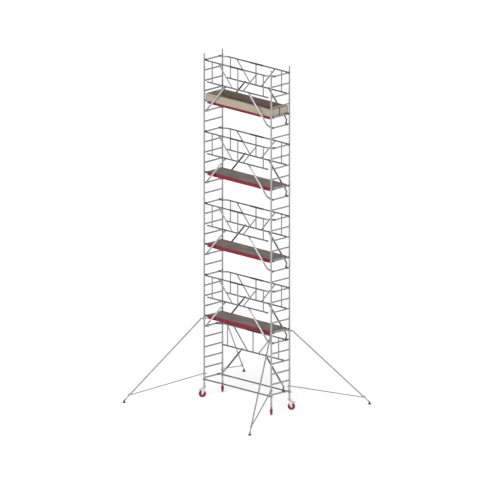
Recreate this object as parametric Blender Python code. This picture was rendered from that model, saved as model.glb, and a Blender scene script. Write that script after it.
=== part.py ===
"""Mobile aluminium tower scaffold: five lifts of end frames, four trapdoor platforms with guardrail
frames, adjustable legs on braked castors, and four telescopic stabilisers.

Metres, +Z up. X runs along the platforms and Y along the rungs. The origin is on the floor, at the
middle of the tower.
"""

import math

import bmesh
import bpy
from mathutils import Matrix, Vector

# Bay: distances between the axes of the four uprights
BAY_LENGTH = 2.50
BAY_WIDTH = 0.68
END_X = BAY_LENGTH / 2
SIDE_Y = BAY_WIDTH / 2

# End frames
UPRIGHT_R = 0.025
UPRIGHT_BORE_R = 0.0225
SPIGOT_R = 0.0212
SPIGOT_BORE_R = 0.018
SPIGOT_LENGTH = 0.13
RUNG_R = 0.0225
RUNG_PITCH = 0.28
FIRST_RUNG = 0.23
LONG_FRAME_RUNGS = 7
SHORT_FRAME_RUNGS = 4
LONG_FRAMES = 4
FRAME_BASE_Z = 0.30
GAP = 0.0003
WELD = 0.00002

# Guardrail frames, heights above their platform's rung
TOP_RAIL_Z = 4 * RUNG_PITCH
LOW_RAIL_Z = TOP_RAIL_Z - 0.58
FOOT_Z = -RUNG_PITCH
RAIL_R = 0.0215
STRUT_R = 0.0185
LOW_RAIL_END = 1.125
POST_X = 0.953
BRACE_TOP_X = 0.72
BRACE_LOW_X = 0.196
SPLAYED_LEG_R = 0.0225
LEG_OUT = 0.030
LEG_TOP_X = 0.430
LEG_TOP_RISE = 0.011
LEG_BEND_X = 1.119
LEG_BEND_RISE = 0.08
STRAIGHT_CLAW_Y = 0.295
BENT_CLAW_Y = 0.224
LEFT_FOOT_Y = 0.246
RIGHT_FOOT_Y = 0.284
BENT_END_X = 1.05
BASE_RAIL_INSET = 0.11
CLAW_WIDTH = 0.024
CLAW_R = 0.0264
CLAW_SIDES = 3
UPRIGHT_CLAW_R = 0.028
UPRIGHT_CLAW_SIDES = 4

# Platforms, heights above their rungs
PLATFORM_RUNGS = (6, 13, 20, 27)
DECK_X = 1.19
DECK_Y = 0.30
DECK_TOP = 0.035
DECK_THICKNESS = 0.012
BEAM_TOP = 0.037
BEAM_BOTTOM = -0.06
BEAM_DEPTH = 0.035
BEAM_WALL = 0.0045
PLATFORM_CLAW_Y = 0.28
HATCH_X = (0.42, 1.08)
HATCH_Y = 0.23
HATCH_THICKNESS = 0.011
HATCH_PLAY = 0.0015
LEDGE = 0.012
TOE_BOARD_TOP = 0.22
TOE_BOARD_FOOT = 0.02
TOE_BOARD_THICKNESS = 0.022
LONG_BOARD_X = 1.2195
END_BOARD_X = 1.2185

# Base braces
BASE_BRACE_Z = 0.487

# Castors and adjustable legs; in a castor's own frame +X is its trail
WHEEL_R = 0.10
WHEEL_SIDES = 24
WHEEL_HALF_WIDTH = 0.025
DISH_R = 0.060
DISH_HALF_WIDTH = 0.031
HUB_R = 0.034
HUB_HALF_WIDTH = 0.036
AXLE_Z = WHEEL_R * math.cos(math.pi / WHEEL_SIDES)
TRAIL = 0.05
AXLE_R = 0.008
FORK_TOP = 0.25
FORK_PLATE_Y = 0.040
FORK_PLATE = 0.004
KINGPIN_R = 0.010
SPINDLE_R = 0.019
SPINDLE_TOP = 0.60
PEDAL_PIVOT = (0.040, 0.222)

# Stabilisers; in a stabiliser's own frame +X points away from its upright
STABILISER_ANGLE = 60
UPPER_CLAMP_Z = 2.15
LOWER_CLAMP_Z = 0.64
CLAMP_HEIGHT = 0.06
CLAMP_R = 0.036
CLAMP_BORE_R = 0.0275
LEG_START = (0.085, 2.15)
LEG_FOOT = (2.19, 0.05)
OUTER_LEG_R = 0.020
OUTER_LEG_BORE_R = 0.0168
INNER_LEG_R = 0.0155
EXPOSED_LEG = 0.16
INNER_LEG_LENGTH = 1.15
BORE_LENGTH = 1.40
COUPLER_R = 0.027
COUPLER_LENGTH = 0.09
LOWER_STRUT_R = 0.015
RUBBER_R = 0.045
RUBBER_HEIGHT = 0.035

# Corners: side of the tower in X, side in Y
CORNERS = {
    "front_left": (-1, -1),
    "back_left": (-1, 1),
    "front_right": (1, -1),
    "back_right": (1, 1),
}

COLOURS = {
    "aluminium": ((0.60, 0.61, 0.62, 1), 0.35, 1.0),
    "grey_steel": ((0.45, 0.46, 0.47, 1), 0.4, 1.0),
    "red_beam": ((0.42, 0.02, 0.05, 1), 0.4, 0.0),
    "brown_deck": ((0.16, 0.12, 0.10, 1), 0.8, 0.0),
    "pale_board": ((0.62, 0.52, 0.36, 1), 0.6, 0.0),
    "red_tyre": ((0.50, 0.01, 0.04, 1), 0.5, 0.0),
    "dark_plastic": ((0.06, 0.06, 0.06, 1), 0.6, 0.0),
}


def rung_z(index):
    """Height of a rung's axis; rung 0 is the lowest."""
    return FRAME_BASE_Z + FIRST_RUNG + index * RUNG_PITCH


def remove_scene_objects():
    for obj in list(bpy.data.objects):
        bpy.data.objects.remove(obj, do_unlink=True)


def make_collection(name):
    collection = bpy.data.collections.new(name)
    bpy.context.scene.collection.children.link(collection)
    return collection


def make_material(name):
    colour, roughness, metallic = COLOURS[name]
    material = bpy.data.materials.new(name)
    material.use_nodes = True
    shader = material.node_tree.nodes["Principled BSDF"]
    shader.inputs["Base Color"].default_value = colour
    shader.inputs["Roughness"].default_value = roughness
    shader.inputs["Metallic"].default_value = metallic
    material.diffuse_color = colour
    return material


def workpiece(mesh, matrix=Matrix()):
    """A solid on the bench, to be fused into a part."""
    obj = bpy.data.objects.new("workpiece", mesh)
    obj.matrix_world = matrix
    obj.hide_render = True
    obj.display_type = "WIRE"
    BENCH.objects.link(obj)
    return obj


def box(low, high):
    """A box between two corners."""
    mesh = bpy.data.meshes.new("box")
    shape = bmesh.new()
    bmesh.ops.create_cube(shape, size=1)
    size = Vector(high) - Vector(low)
    bmesh.ops.scale(shape, vec=size, verts=shape.verts)
    bmesh.ops.translate(shape, vec=(Vector(high) + Vector(low)) / 2, verts=shape.verts)
    shape.to_mesh(mesh)
    shape.free()
    return workpiece(mesh)


def rod(start, end, radius, sides=8):
    """A straight round bar between two points."""
    start = Vector(start)
    along = Vector(end) - start
    mesh = bpy.data.meshes.new("rod")
    shape = bmesh.new()
    bmesh.ops.create_cone(
        shape,
        cap_ends=True,
        segments=sides,
        radius1=radius,
        radius2=radius,
        depth=along.length,
    )
    turn = along.to_track_quat("Z", "Y").to_matrix().to_4x4()
    bmesh.ops.transform(
        shape,
        matrix=Matrix.Translation(start + along / 2) @ turn,
        verts=shape.verts,
    )
    shape.to_mesh(mesh)
    shape.free()
    return workpiece(mesh)


def curve_to_workpiece(curve, matrix=Matrix()):
    """The curve's closed mesh, with its loose caps welded on."""
    obj = bpy.data.objects.new("route", curve)
    obj.matrix_world = matrix
    BENCH.objects.link(obj)
    bpy.context.view_layer.update()
    evaluated = obj.evaluated_get(bpy.context.evaluated_depsgraph_get())
    mesh = bpy.data.meshes.new_from_object(evaluated)
    bpy.data.objects.remove(obj, do_unlink=True)
    shape = bmesh.new()
    shape.from_mesh(mesh)
    bmesh.ops.remove_doubles(shape, verts=shape.verts, dist=0.00001)
    bmesh.ops.recalc_face_normals(shape, faces=shape.faces)
    shape.to_mesh(mesh)
    shape.free()
    return workpiece(mesh, matrix)


def bent_tube(points, radius):
    """A round bar of six sides through several points."""
    curve = bpy.data.curves.new("tube", "CURVE")
    curve.dimensions = "3D"
    curve.bevel_depth = radius
    curve.bevel_resolution = 1
    curve.use_fill_caps = True
    spline = curve.splines.new("POLY")
    spline.points.add(len(points) - 1)
    for point, place in zip(spline.points, points):
        point.co = (*place, 1)
    return curve_to_workpiece(curve)


def plate(points, thickness, matrix):
    """A flat outline with a thickness, drawn in the matrix's XY plane and centred on it."""
    curve = bpy.data.curves.new("plate", "CURVE")
    curve.dimensions = "2D"
    curve.fill_mode = "BOTH"
    curve.extrude = thickness / 2
    spline = curve.splines.new("POLY")
    spline.points.add(len(points) - 1)
    for point, place in zip(spline.points, points):
        point.co = (*place, 0, 1)
    spline.use_cyclic_u = True
    return curve_to_workpiece(curve, matrix)


def upright_plane(x, y, z, mirrored=False):
    """A drawing plane whose X is the world's X, or -X if mirrored, and whose Y is the world's Z."""
    side = -1 if mirrored else 1
    turn = Matrix(((side, 0, 0, 0), (0, 0, -side, 0), (0, 1, 0, 0), (0, 0, 0, 1)))
    return Matrix.Translation((x, y, z)) @ turn


def half_ring(radius, sides):
    """Points over the top of a round seat, from its right to its left."""
    angles = [math.pi * step / sides for step in range(sides + 1)]
    return [(radius * math.cos(a), radius * math.sin(a)) for a in angles]


def rung_claw(end, y, z, width, tail=0.055):
    """A hook that sits over a rung at one end of the tower, its tail pointing to the middle."""
    outline = [
        (-tail, -0.012),
        (-tail, 0.012),
        (-0.014, 0.034),
        (0.014, 0.034),
        (0.035, 0.014),
        (0.035, -0.020),
        (CLAW_R, -0.020),
        *half_ring(CLAW_R, CLAW_SIDES),
        (-CLAW_R, -0.012),
    ]
    return plate(outline, width, upright_plane(end * END_X, y, z, mirrored=end < 0))


def upright_claw(end):
    """A hook round an upright on the front side, open outwards."""
    seat = UPRIGHT_CLAW_R
    outline = [
        (0.055, -0.012),
        (0.055, 0.012),
        (0.030, 0.038),
        (-0.030, 0.038),
        (-0.040, 0.028),
        (-0.040, -0.030),
        (-seat, -0.030),
        *reversed(half_ring(seat, UPRIGHT_CLAW_SIDES)),
        (seat, -0.030),
        (0.040, -0.030),
        (0.040, -0.012),
    ]
    if end > 0:
        outline = [(-x, y) for x, y in reversed(outline)]
    return plate(outline, 0.04, Matrix.Translation((end * END_X, -SIDE_Y, 0)))


def fuse(name, solids, cuts=()):
    """One closed mesh: the solids joined, less the cuts. The workpieces are used up."""
    base = solids[0]
    for operation, tools in (("UNION", solids[1:]), ("DIFFERENCE", cuts)):
        for tool in tools:
            boolean = base.modifiers.new(operation.lower(), "BOOLEAN")
            boolean.operation = operation
            boolean.solver = "EXACT"
            boolean.object = tool
    bpy.context.view_layer.update()
    evaluated = base.evaluated_get(bpy.context.evaluated_depsgraph_get())
    mesh = bpy.data.meshes.new_from_object(evaluated)
    mesh.transform(base.matrix_world)
    mesh.name = name
    mesh.materials.clear()
    shape = bmesh.new()
    shape.from_mesh(mesh)
    bmesh.ops.remove_doubles(shape, verts=shape.verts, dist=WELD)
    bmesh.ops.dissolve_degenerate(shape, edges=shape.edges, dist=WELD)
    shape.to_mesh(mesh)
    shape.free()
    for piece in (*solids, *cuts):
        bpy.data.objects.remove(piece, do_unlink=True)
    return mesh


def place(name, mesh, material, location=(0, 0, 0), turn=0.0):
    """A named part, turned about its own vertical axis, in degrees."""
    if not mesh.materials:
        mesh.materials.append(MATERIALS[material])
        for face in mesh.polygons:
            face.material_index = 0
        mesh.shade_smooth()
        mesh.set_sharp_from_angle(angle=math.radians(50))
    obj = bpy.data.objects.new(name, mesh)
    obj.location = location
    obj.rotation_euler = (0, 0, math.radians(turn))
    TOWER.objects.link(obj)
    return obj


def end_frame_mesh(rungs):
    """A ladder frame standing at the origin: two hollow uprights with spigots, and welded rungs."""
    height = rungs * RUNG_PITCH - GAP
    solids = []
    bores = []
    for side in (-SIDE_Y, SIDE_Y):
        solids.append(rod((0, side, 0), (0, side, height), UPRIGHT_R))
        solids.append(rod((0, side, height - 0.05), (0, side, height + SPIGOT_LENGTH), SPIGOT_R))
        bores.append(rod((0, side, -0.01), (0, side, height - 0.03), UPRIGHT_BORE_R))
        bores.append(rod((0, side, height - 0.04), (0, side, height + 0.2), SPIGOT_BORE_R))
    for index in range(rungs):
        z = FIRST_RUNG + index * RUNG_PITCH
        solids.append(rod((0, -SIDE_Y, z), (0, SIDE_Y, z), RUNG_R, sides=6))
    return fuse("end_frame", solids, bores)


def guardrail_mesh():
    """A front guardrail frame; its platform's rungs are at z = 0."""
    front = -SIDE_Y
    top_rail = bent_tube(
        [
            (-END_X + 0.045, -STRAIGHT_CLAW_Y, TOP_RAIL_Z),
            (-END_X + 0.09, front, TOP_RAIL_Z),
            (BENT_END_X, front, TOP_RAIL_Z),
            (END_X - 0.045, -BENT_CLAW_Y, TOP_RAIL_Z),
        ],
        RAIL_R,
    )
    solids = [
        top_rail,
        rod(
            (-LOW_RAIL_END, front, LOW_RAIL_Z),
            (LOW_RAIL_END, front, LOW_RAIL_Z),
            RAIL_R,
            sides=6,
        ),
        rung_claw(-1, -STRAIGHT_CLAW_Y, TOP_RAIL_Z, CLAW_WIDTH),
        rung_claw(1, -BENT_CLAW_Y, TOP_RAIL_Z, CLAW_WIDTH),
    ]
    for x in (-POST_X, 0, POST_X):
        solids.append(rod((x, front, LOW_RAIL_Z), (x, front, TOP_RAIL_Z), STRUT_R, sides=6))
    for side, foot_y in ((-1, -LEFT_FOOT_Y), (1, -RIGHT_FOOT_Y)):
        solids.append(
            rod(
                (side * BRACE_LOW_X, front, LOW_RAIL_Z),
                (side * BRACE_TOP_X, front, TOP_RAIL_Z),
                STRUT_R,
                sides=6,
            )
        )
        solids.append(
            bent_tube(
                [
                    (side * LEG_TOP_X, front - LEG_OUT, LOW_RAIL_Z + LEG_TOP_RISE),
                    (side * LEG_BEND_X, front - LEG_OUT, FOOT_Z + LEG_BEND_RISE),
                    (side * (END_X - 0.045), foot_y, FOOT_Z),
                ],
                SPLAYED_LEG_R,
            )
        )
        solids.append(rung_claw(side, foot_y, FOOT_Z, CLAW_WIDTH))
    return fuse("guardrail", solids)


def platform_mesh():
    """A platform with its rungs' axes at z = 0: side beams, joists, deck with a trapdoor, claws."""
    beams = []
    for side in (-1, 1):
        outer = side * DECK_Y
        inner = side * (DECK_Y - BEAM_DEPTH)
        beam = box(
            (-DECK_X, min(outer, inner), BEAM_BOTTOM),
            (DECK_X, max(outer, inner), BEAM_TOP),
        )
        web = side * (DECK_Y - BEAM_WALL)
        throat = side * (DECK_Y - 2 * BEAM_DEPTH)
        hollow = box(
            (-END_X, min(web, throat), BEAM_BOTTOM + BEAM_WALL),
            (END_X, max(web, throat), DECK_TOP - DECK_THICKNESS - BEAM_WALL),
        )
        beams.append(workpiece(fuse("beam", [beam], [hollow])))
    underside = DECK_TOP - DECK_THICKNESS
    deck_edge = DECK_Y - BEAM_WALL / 2
    opening = box(
        (HATCH_X[0], -HATCH_Y, underside - 0.05),
        (HATCH_X[1], HATCH_Y, DECK_TOP + 0.05),
    )
    slab = box(
        (-DECK_X + 0.002, -deck_edge, underside),
        (DECK_X - 0.002, deck_edge, DECK_TOP),
    )
    deck = workpiece(fuse("deck", [slab], [opening]))
    solids = [*beams, deck]
    joist_top = underside + 0.0005
    joists = [-0.80, -0.20, HATCH_X[0] - 0.04 + LEDGE, HATCH_X[1] - LEDGE]
    for x in joists:
        solids.append(box((x, -deck_edge, -0.012), (x + 0.04, deck_edge, joist_top)))
    for x in (-DECK_X + 0.001, DECK_X - 0.041):
        solids.append(box((x, -deck_edge, -0.035), (x + 0.04, deck_edge, joist_top)))
    for side in (-1, 1):
        edges = sorted((side * (HATCH_Y - LEDGE), side * (HATCH_Y + 0.02)))
        solids.append(
            box(
                (HATCH_X[0] - 0.01, edges[0], -0.006),
                (HATCH_X[1] + 0.01, edges[1], joist_top),
            )
        )
        for end in (-1, 1):
            solids.append(rung_claw(end, side * PLATFORM_CLAW_Y, 0, 0.028, tail=0.085))
    return fuse("platform", solids)


def hatch_mesh():
    """A trapdoor, flush with its deck, with its hinge line along the back edge at the origin."""
    length = HATCH_X[1] - HATCH_X[0] - 2 * HATCH_PLAY
    return fuse(
        "hatch",
        [
            box(
                (-length / 2, -2 * HATCH_Y + HATCH_PLAY, -HATCH_THICKNESS),
                (length / 2, -HATCH_PLAY, 0),
            )
        ],
    )


def base_brace_mesh():
    """The front base brace, with a claw for each upright."""
    reach = END_X - 0.045
    solids = [rod((-reach, -SIDE_Y, 0), (reach, -SIDE_Y, 0), RAIL_R)]
    solids += [upright_claw(-1), upright_claw(1)]
    return fuse("base_brace", solids)


def leg_mesh():
    """An adjustable leg on its upright's axis: a spindle on a collar that holds the kingpin."""
    spindle = rod((0, 0, 0.26), (0, 0, SPINDLE_TOP), SPINDLE_R)
    collar = rod((0, 0, FORK_TOP + 0.0015), (0, 0, 0.275), 0.030, sides=12)
    socket = rod((0, 0, FORK_TOP - 0.01), (0, 0, 0.31), KINGPIN_R + 0.0013)
    return fuse("leg", [spindle, collar], [socket])


def fork_mesh():
    """A castor fork: crown, kingpin, two cheek plates and the wheel's axle."""
    outline = [
        (-0.030, 0.246),
        (0.060, 0.246),
        (0.070, 0.196),
        (0.076, 0.105),
        (0.064, 0.078),
        (0.036, 0.078),
        (0.024, 0.104),
        (-0.018, 0.190),
    ]
    solids = [
        rod((0, 0, 0.236), (0, 0, FORK_TOP), 0.036, sides=8),
        rod((0, 0, 0.24), (0, 0, 0.30), KINGPIN_R, sides=6),
        box((-0.029, -FORK_PLATE_Y, 0.238), (0.030, FORK_PLATE_Y, 0.247)),
        rod((TRAIL, -FORK_PLATE_Y - 0.006, AXLE_Z), (TRAIL, FORK_PLATE_Y + 0.006, AXLE_Z), AXLE_R),
    ]
    for side in (-1, 1):
        solids.append(plate(outline, FORK_PLATE, upright_plane(0, side * FORK_PLATE_Y, 0)))
    pivot_x, pivot_z = PEDAL_PIVOT
    pin_hole = rod((pivot_x, -0.05, pivot_z), (pivot_x, 0.05, pivot_z), 0.0062, sides=6)
    return fuse("fork", solids, [pin_hole])


def wheel_mesh():
    """A castor wheel turned about Y, at the origin, with a flat of its rim downwards."""
    rim = rod((0, -WHEEL_HALF_WIDTH, 0), (0, WHEEL_HALF_WIDTH, 0), WHEEL_R, WHEEL_SIDES)
    dish = rod((0, -DISH_HALF_WIDTH, 0), (0, DISH_HALF_WIDTH, 0), DISH_R, WHEEL_SIDES)
    hub = rod((0, -HUB_HALF_WIDTH, 0), (0, HUB_HALF_WIDTH, 0), HUB_R, WHEEL_SIDES)
    bore = rod((0, -0.05, 0), (0, 0.05, 0), 0.0090, sides=12)
    mesh = fuse("wheel", [rim, dish, hub], [bore])
    mesh.transform(Matrix.Rotation(math.pi / WHEEL_SIDES, 4, "Y"))
    return mesh


def pedal_mesh():
    """A brake pedal on its pin at the origin, reaching out over the wheel."""
    outline = [
        (0.000, 0.006),
        (0.058, 0.006),
        (0.120, -0.026),
        (0.117, -0.032),
        (0.056, 0.000),
        (0.000, 0.000),
    ]
    return fuse(
        "pedal",
        [
            rod((0, -0.027, 0), (0, 0.027, 0), 0.008, sides=6),
            rod((0, -0.046, 0), (0, 0.046, 0), 0.0045, sides=6),
            plate(outline, 0.048, upright_plane(0, 0, 0)),
        ],
    )


def stabiliser_line():
    """Start and direction of a stabiliser's leg, in its own frame."""
    start = Vector((LEG_START[0], 0, LEG_START[1]))
    foot = Vector((LEG_FOOT[0], 0, LEG_FOOT[1]))
    return start, foot, (foot - start).normalized()


def stabiliser_mesh():
    """A stabiliser round its upright's axis: two clamps, outer leg with its coupler, lower strut."""
    start, foot, along = stabiliser_line()
    end = foot - along * EXPOSED_LEG
    joint = end - along * COUPLER_LENGTH / 2
    solids = []
    cuts = []
    for z in (UPPER_CLAMP_Z, LOWER_CLAMP_Z):
        low = (0, 0, z - CLAMP_HEIGHT / 2)
        high = (0, 0, z + CLAMP_HEIGHT / 2)
        solids.append(rod(low, high, CLAMP_R))
        cuts.append(rod((0, 0, low[2] - 0.02), (0, 0, high[2] + 0.02), CLAMP_BORE_R))
    solids += [
        rod((0.030, 0, UPPER_CLAMP_Z), (start.x + 0.01, 0, UPPER_CLAMP_Z), 0.022),
        rod(start - along * 0.02, end, OUTER_LEG_R),
        rod(end - along * COUPLER_LENGTH, end + along * 0.004, COUPLER_R),
        rod((0.031, 0, LOWER_CLAMP_Z), joint, LOWER_STRUT_R, sides=6),
    ]
    cuts.append(rod(end - along * BORE_LENGTH, end + along * 0.05, OUTER_LEG_BORE_R))
    return fuse("stabiliser", solids, cuts)


def stabiliser_foot_mesh():
    """The inner leg and its rubber foot, with the origin where they meet."""
    _, foot, along = stabiliser_line()
    drop = foot.z
    rubber = rod((0, 0, -drop), (0, 0, RUBBER_HEIGHT - drop), RUBBER_R, sides=12)
    neck = rod((0, 0, RUBBER_HEIGHT - drop - 0.01), (0, 0, 0.012), 0.020)
    inner = rod(-along * INNER_LEG_LENGTH, along * 0.005, INNER_LEG_R)
    return fuse("stabiliser_foot", [inner, neck, rubber])


def build_frames():
    long_mesh = end_frame_mesh(LONG_FRAME_RUNGS)
    short_mesh = end_frame_mesh(SHORT_FRAME_RUNGS)
    for side, end in (("left", -1), ("right", 1)):
        for level in range(LONG_FRAMES + 1):
            mesh = short_mesh if level == LONG_FRAMES else long_mesh
            z = FRAME_BASE_Z + level * LONG_FRAME_RUNGS * RUNG_PITCH
            place(f"{side}_end_frame_{level + 1}", mesh, "aluminium", (end * END_X, 0, z))


def build_rails():
    guardrail = guardrail_mesh()
    for level, rung in enumerate(PLATFORM_RUNGS, 1):
        place(f"front_guardrail_{level}", guardrail, "aluminium", (0, 0, rung_z(rung)))
        place(f"back_guardrail_{level}", guardrail, "aluminium", (0, 0, rung_z(rung)), 180)
    place("base_guardrail", guardrail, "aluminium", (0, -BASE_RAIL_INSET, rung_z(1)), 180)
    brace = base_brace_mesh()
    place("front_base_brace", brace, "aluminium", (0, 0, BASE_BRACE_Z))
    place("back_base_brace", brace, "aluminium", (0, 0, BASE_BRACE_Z), 180)


def build_platforms():
    platform = platform_mesh()
    hatch = hatch_mesh()
    hatch_x = sum(HATCH_X) / 2
    for level, rung in enumerate(PLATFORM_RUNGS, 1):
        z = rung_z(rung)
        place(f"platform_{level}", platform, "red_beam", (0, 0, z))
        place(f"hatch_{level}", hatch, "brown_deck", (hatch_x, HATCH_Y, z + DECK_TOP))


def build_toe_boards():
    base = rung_z(PLATFORM_RUNGS[-1])
    inner_y = DECK_Y + GAP
    outer_y = inner_y + TOE_BOARD_THICKNESS
    long_board = fuse(
        "long_toe_board",
        [box((-LONG_BOARD_X, -outer_y, TOE_BOARD_FOOT), (LONG_BOARD_X, -inner_y, TOE_BOARD_TOP))],
    )
    end_board = fuse(
        "end_toe_board",
        [
            box(
                (END_BOARD_X - TOE_BOARD_THICKNESS, GAP - inner_y, BEAM_TOP + GAP),
                (END_BOARD_X, inner_y - GAP, TOE_BOARD_TOP),
            )
        ],
    )
    place("front_toe_board", long_board, "pale_board", (0, 0, base))
    place("back_toe_board", long_board, "pale_board", (0, 0, base), 180)
    place("right_toe_board", end_board, "pale_board", (0, 0, base))
    place("left_toe_board", end_board, "pale_board", (0, 0, base), 180)


def build_castors():
    leg = leg_mesh()
    fork = fork_mesh()
    wheel = wheel_mesh()
    pedal = pedal_mesh()
    pivot_x, pivot_z = PEDAL_PIVOT
    for corner, (end, side) in CORNERS.items():
        upright = Vector((end * END_X, side * SIDE_Y, 0))
        trail = Vector((end, side, 0)).normalized()
        turn = math.degrees(math.atan2(side, end))
        place(f"{corner}_leg", leg, "grey_steel", upright, turn)
        place(f"{corner}_castor_fork", fork, "grey_steel", upright, turn)
        hub = upright + trail * TRAIL + Vector((0, 0, AXLE_Z))
        place(f"{corner}_wheel", wheel, "red_tyre", hub, turn)
        pivot = upright + trail * pivot_x + Vector((0, 0, pivot_z))
        place(f"{corner}_brake_pedal", pedal, "dark_plastic", pivot, turn)


def build_stabilisers():
    outer = stabiliser_mesh()
    inner = stabiliser_foot_mesh()
    _, foot, _ = stabiliser_line()
    for corner, (end, side) in CORNERS.items():
        upright = Vector((end * END_X, side * SIDE_Y, 0))
        slope = math.radians(STABILISER_ANGLE)
        out = Vector((end * math.cos(slope), side * math.sin(slope), 0))
        turn = math.degrees(math.atan2(out.y, out.x))
        place(f"{corner}_stabiliser", outer, "aluminium", upright, turn)
        tip = upright + out * foot.x + Vector((0, 0, foot.z))
        place(f"{corner}_stabiliser_foot", inner, "aluminium", tip, turn)


remove_scene_objects()
BENCH = make_collection("bench")
TOWER = make_collection("mobile_tower_scaffold")
MATERIALS = {name: make_material(name) for name in COLOURS}
build_frames()
build_rails()
build_platforms()
build_toe_boards()
build_castors()
build_stabilisers()
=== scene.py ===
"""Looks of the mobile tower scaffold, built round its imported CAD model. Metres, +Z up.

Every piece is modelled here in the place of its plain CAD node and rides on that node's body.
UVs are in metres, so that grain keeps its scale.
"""

import math

import bmesh
import bpy
from mathutils import Matrix, Vector
from mathutils.geometry import normal


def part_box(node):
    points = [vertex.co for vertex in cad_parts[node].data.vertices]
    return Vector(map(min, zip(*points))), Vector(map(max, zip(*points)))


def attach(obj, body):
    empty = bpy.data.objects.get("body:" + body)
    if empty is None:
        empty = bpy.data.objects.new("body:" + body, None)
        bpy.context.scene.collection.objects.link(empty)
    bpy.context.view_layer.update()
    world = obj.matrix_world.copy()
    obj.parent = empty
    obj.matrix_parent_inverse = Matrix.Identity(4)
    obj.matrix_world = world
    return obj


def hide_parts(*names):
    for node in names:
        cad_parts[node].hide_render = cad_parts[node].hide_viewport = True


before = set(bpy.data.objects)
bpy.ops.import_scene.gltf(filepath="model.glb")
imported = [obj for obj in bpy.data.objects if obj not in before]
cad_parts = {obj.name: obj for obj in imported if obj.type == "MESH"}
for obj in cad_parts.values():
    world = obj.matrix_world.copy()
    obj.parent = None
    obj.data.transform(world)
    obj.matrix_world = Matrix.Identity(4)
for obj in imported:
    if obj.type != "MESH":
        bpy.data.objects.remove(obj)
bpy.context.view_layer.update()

UP = Vector((0, 0, 1))
RIGHT_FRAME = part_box("right_end_frame_1")
END_X = (RIGHT_FRAME[0].x + RIGHT_FRAME[1].x) / 2
UPRIGHT_R = (RIGHT_FRAME[1].x - RIGHT_FRAME[0].x) / 2
SIDE_Y = RIGHT_FRAME[1].y - UPRIGHT_R
CORNERS = {
    "front_left": (-1, -1), "back_left": (-1, 1), "front_right": (1, -1), "back_right": (1, 1),
}
LEVELS = (1, 2, 3, 4)

# End frames
UPRIGHT_WALL = 0.0025
SPIGOT_R = 0.0212
SPIGOT_WALL = 0.0032
SPIGOT_LENGTH = 0.13
RUNG_R = 0.0225
RUNG_WALL = 0.002
RUNG_PITCH = 0.28
FIRST_RUNG = 0.23
RUNG_FLUTES = 12
FLUTE_DEPTH = 0.0011
GAP = 0.0003
PLAY = 0.0002

# Guardrail frames, heights above their platform's rung
TOP_RAIL_Z = 4 * RUNG_PITCH
LOW_RAIL_Z = TOP_RAIL_Z - 0.58
FOOT_Z = -RUNG_PITCH
RAIL_R = 0.0215
STRUT_R = 0.0185
TUBE_WALL = 0.002
LOW_RAIL_END = 1.125
POST_X = 0.953
BRACE_TOP_X = 0.72
BRACE_LOW_X = 0.196
SPLAYED_LEG_R = 0.0225
LEG_OUT = 0.03
LEG_TOP_X = 0.43
LEG_TOP_RISE = 0.011
LEG_BEND_X = 1.119
LEG_BEND_RISE = 0.08
STRAIGHT_CLAW_Y = 0.295
BENT_CLAW_Y = 0.224
LEFT_FOOT_Y = 0.246
RIGHT_FOOT_Y = 0.284
BENT_END_X = 1.05
GRIP = (-0.275, 0.21)
HOOK_DROP = 0.02
# Painted shade and painted light strips on the splayed legs: where they start and their share of the
# leg
PAINTED_STRIP_START = 0.1
PAINTED_STRIP_SHARE = 0.72
BASE_RAIL_INSET = 0.11
CLAW_REACH = 0.052
HOOK_WIDTH = 0.024
HOOK_TAIL = 0.055

# Platforms, heights above their rungs
DECK_X = 1.19
DECK_Y = 0.3
DECK_TOP = 0.035
DECK_BOTTOM = 0.023
BEAM_TOP = 0.037
BEAM_BOTTOM = -0.06
BEAM_WALL = 0.0045
JOIST_WIDTH = 0.04
HATCH_X = (0.42, 1.08)
HATCH_Y = 0.23
HATCH_THICKNESS = 0.011
HATCH_PLAY = 0.0015
HINGE_X = 0.19
PLATFORM_HOOK_Y = 0.28
# Top of the painted shadow strip at the foot of the long toe boards' inner faces
FOOT_SHADOW_TOP = 0.022

# Stabilisers, in their own frame: +X away from the upright
UPPER_CLAMP_Z = 2.15
LOWER_CLAMP_Z = 0.64
LEG_START = Vector((0.085, 0, UPPER_CLAMP_Z))
LEG_FOOT = Vector((2.19, 0, 0.05))
LEG_WAY = (LEG_FOOT - LEG_START).normalized()
LEG_SIDE = LEG_WAY.cross(Vector((0, 1, 0))).normalized()
EXPOSED_LEG = 0.16
OUTER_LEG_R = 0.02
LOWER_STRUT_R = 0.015
INNER_LEG_R = 0.0155
INNER_LEG_LENGTH = 1.15
FOOT_PAD_R = 0.045

# Castors, in their leg's frame: +X towards the wheel
PEDAL_PIN = (0.04, 0.222)
WHEEL_SIDES = 72

# Mesh quality
TUBE_SIDES = 32
BEAD_STEPS = 32
BEAD_SIZE = 0.0026
EDGE = 0.0006
SINK = 0.0012
SHARP_ANGLE = 38


# ---------------------------------------------------------------- shapes


def arc(x, y, radius, start, end, steps=8):
    """Points along a circle's arc, angles in degrees."""
    points = []
    for step in range(steps + 1):
        angle = math.radians(start + (end - start) * step / steps)
        points.append((x + radius * math.cos(angle), y + radius * math.sin(angle)))
    return points


def rounded(points, radius, steps=8):
    """A path with its inner corners eased into curves."""
    points = [Vector(point) for point in points]
    path = [points[0]]
    for before, corner, after in zip(points, points[1:], points[2:]):
        start = corner + (before - corner).normalized() * radius
        end = corner + (after - corner).normalized() * radius
        for step in range(steps + 1):
            share = step / steps
            path.append(start.lerp(corner, share).lerp(corner.lerp(end, share), share))
    path.append(points[-1])
    return path


def rounded_box(width, height, radius, steps=4):
    """A rectangle's outline about the origin, with round corners, counterclockwise."""
    outline = []
    for side_x, side_y, start in ((1, 1, 0), (-1, 1, 90), (-1, -1, 180), (1, -1, 270)):
        x = side_x * (width / 2 - radius)
        y = side_y * (height / 2 - radius)
        outline += arc(x, y, radius, start, start + 90, steps)
    return outline


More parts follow.
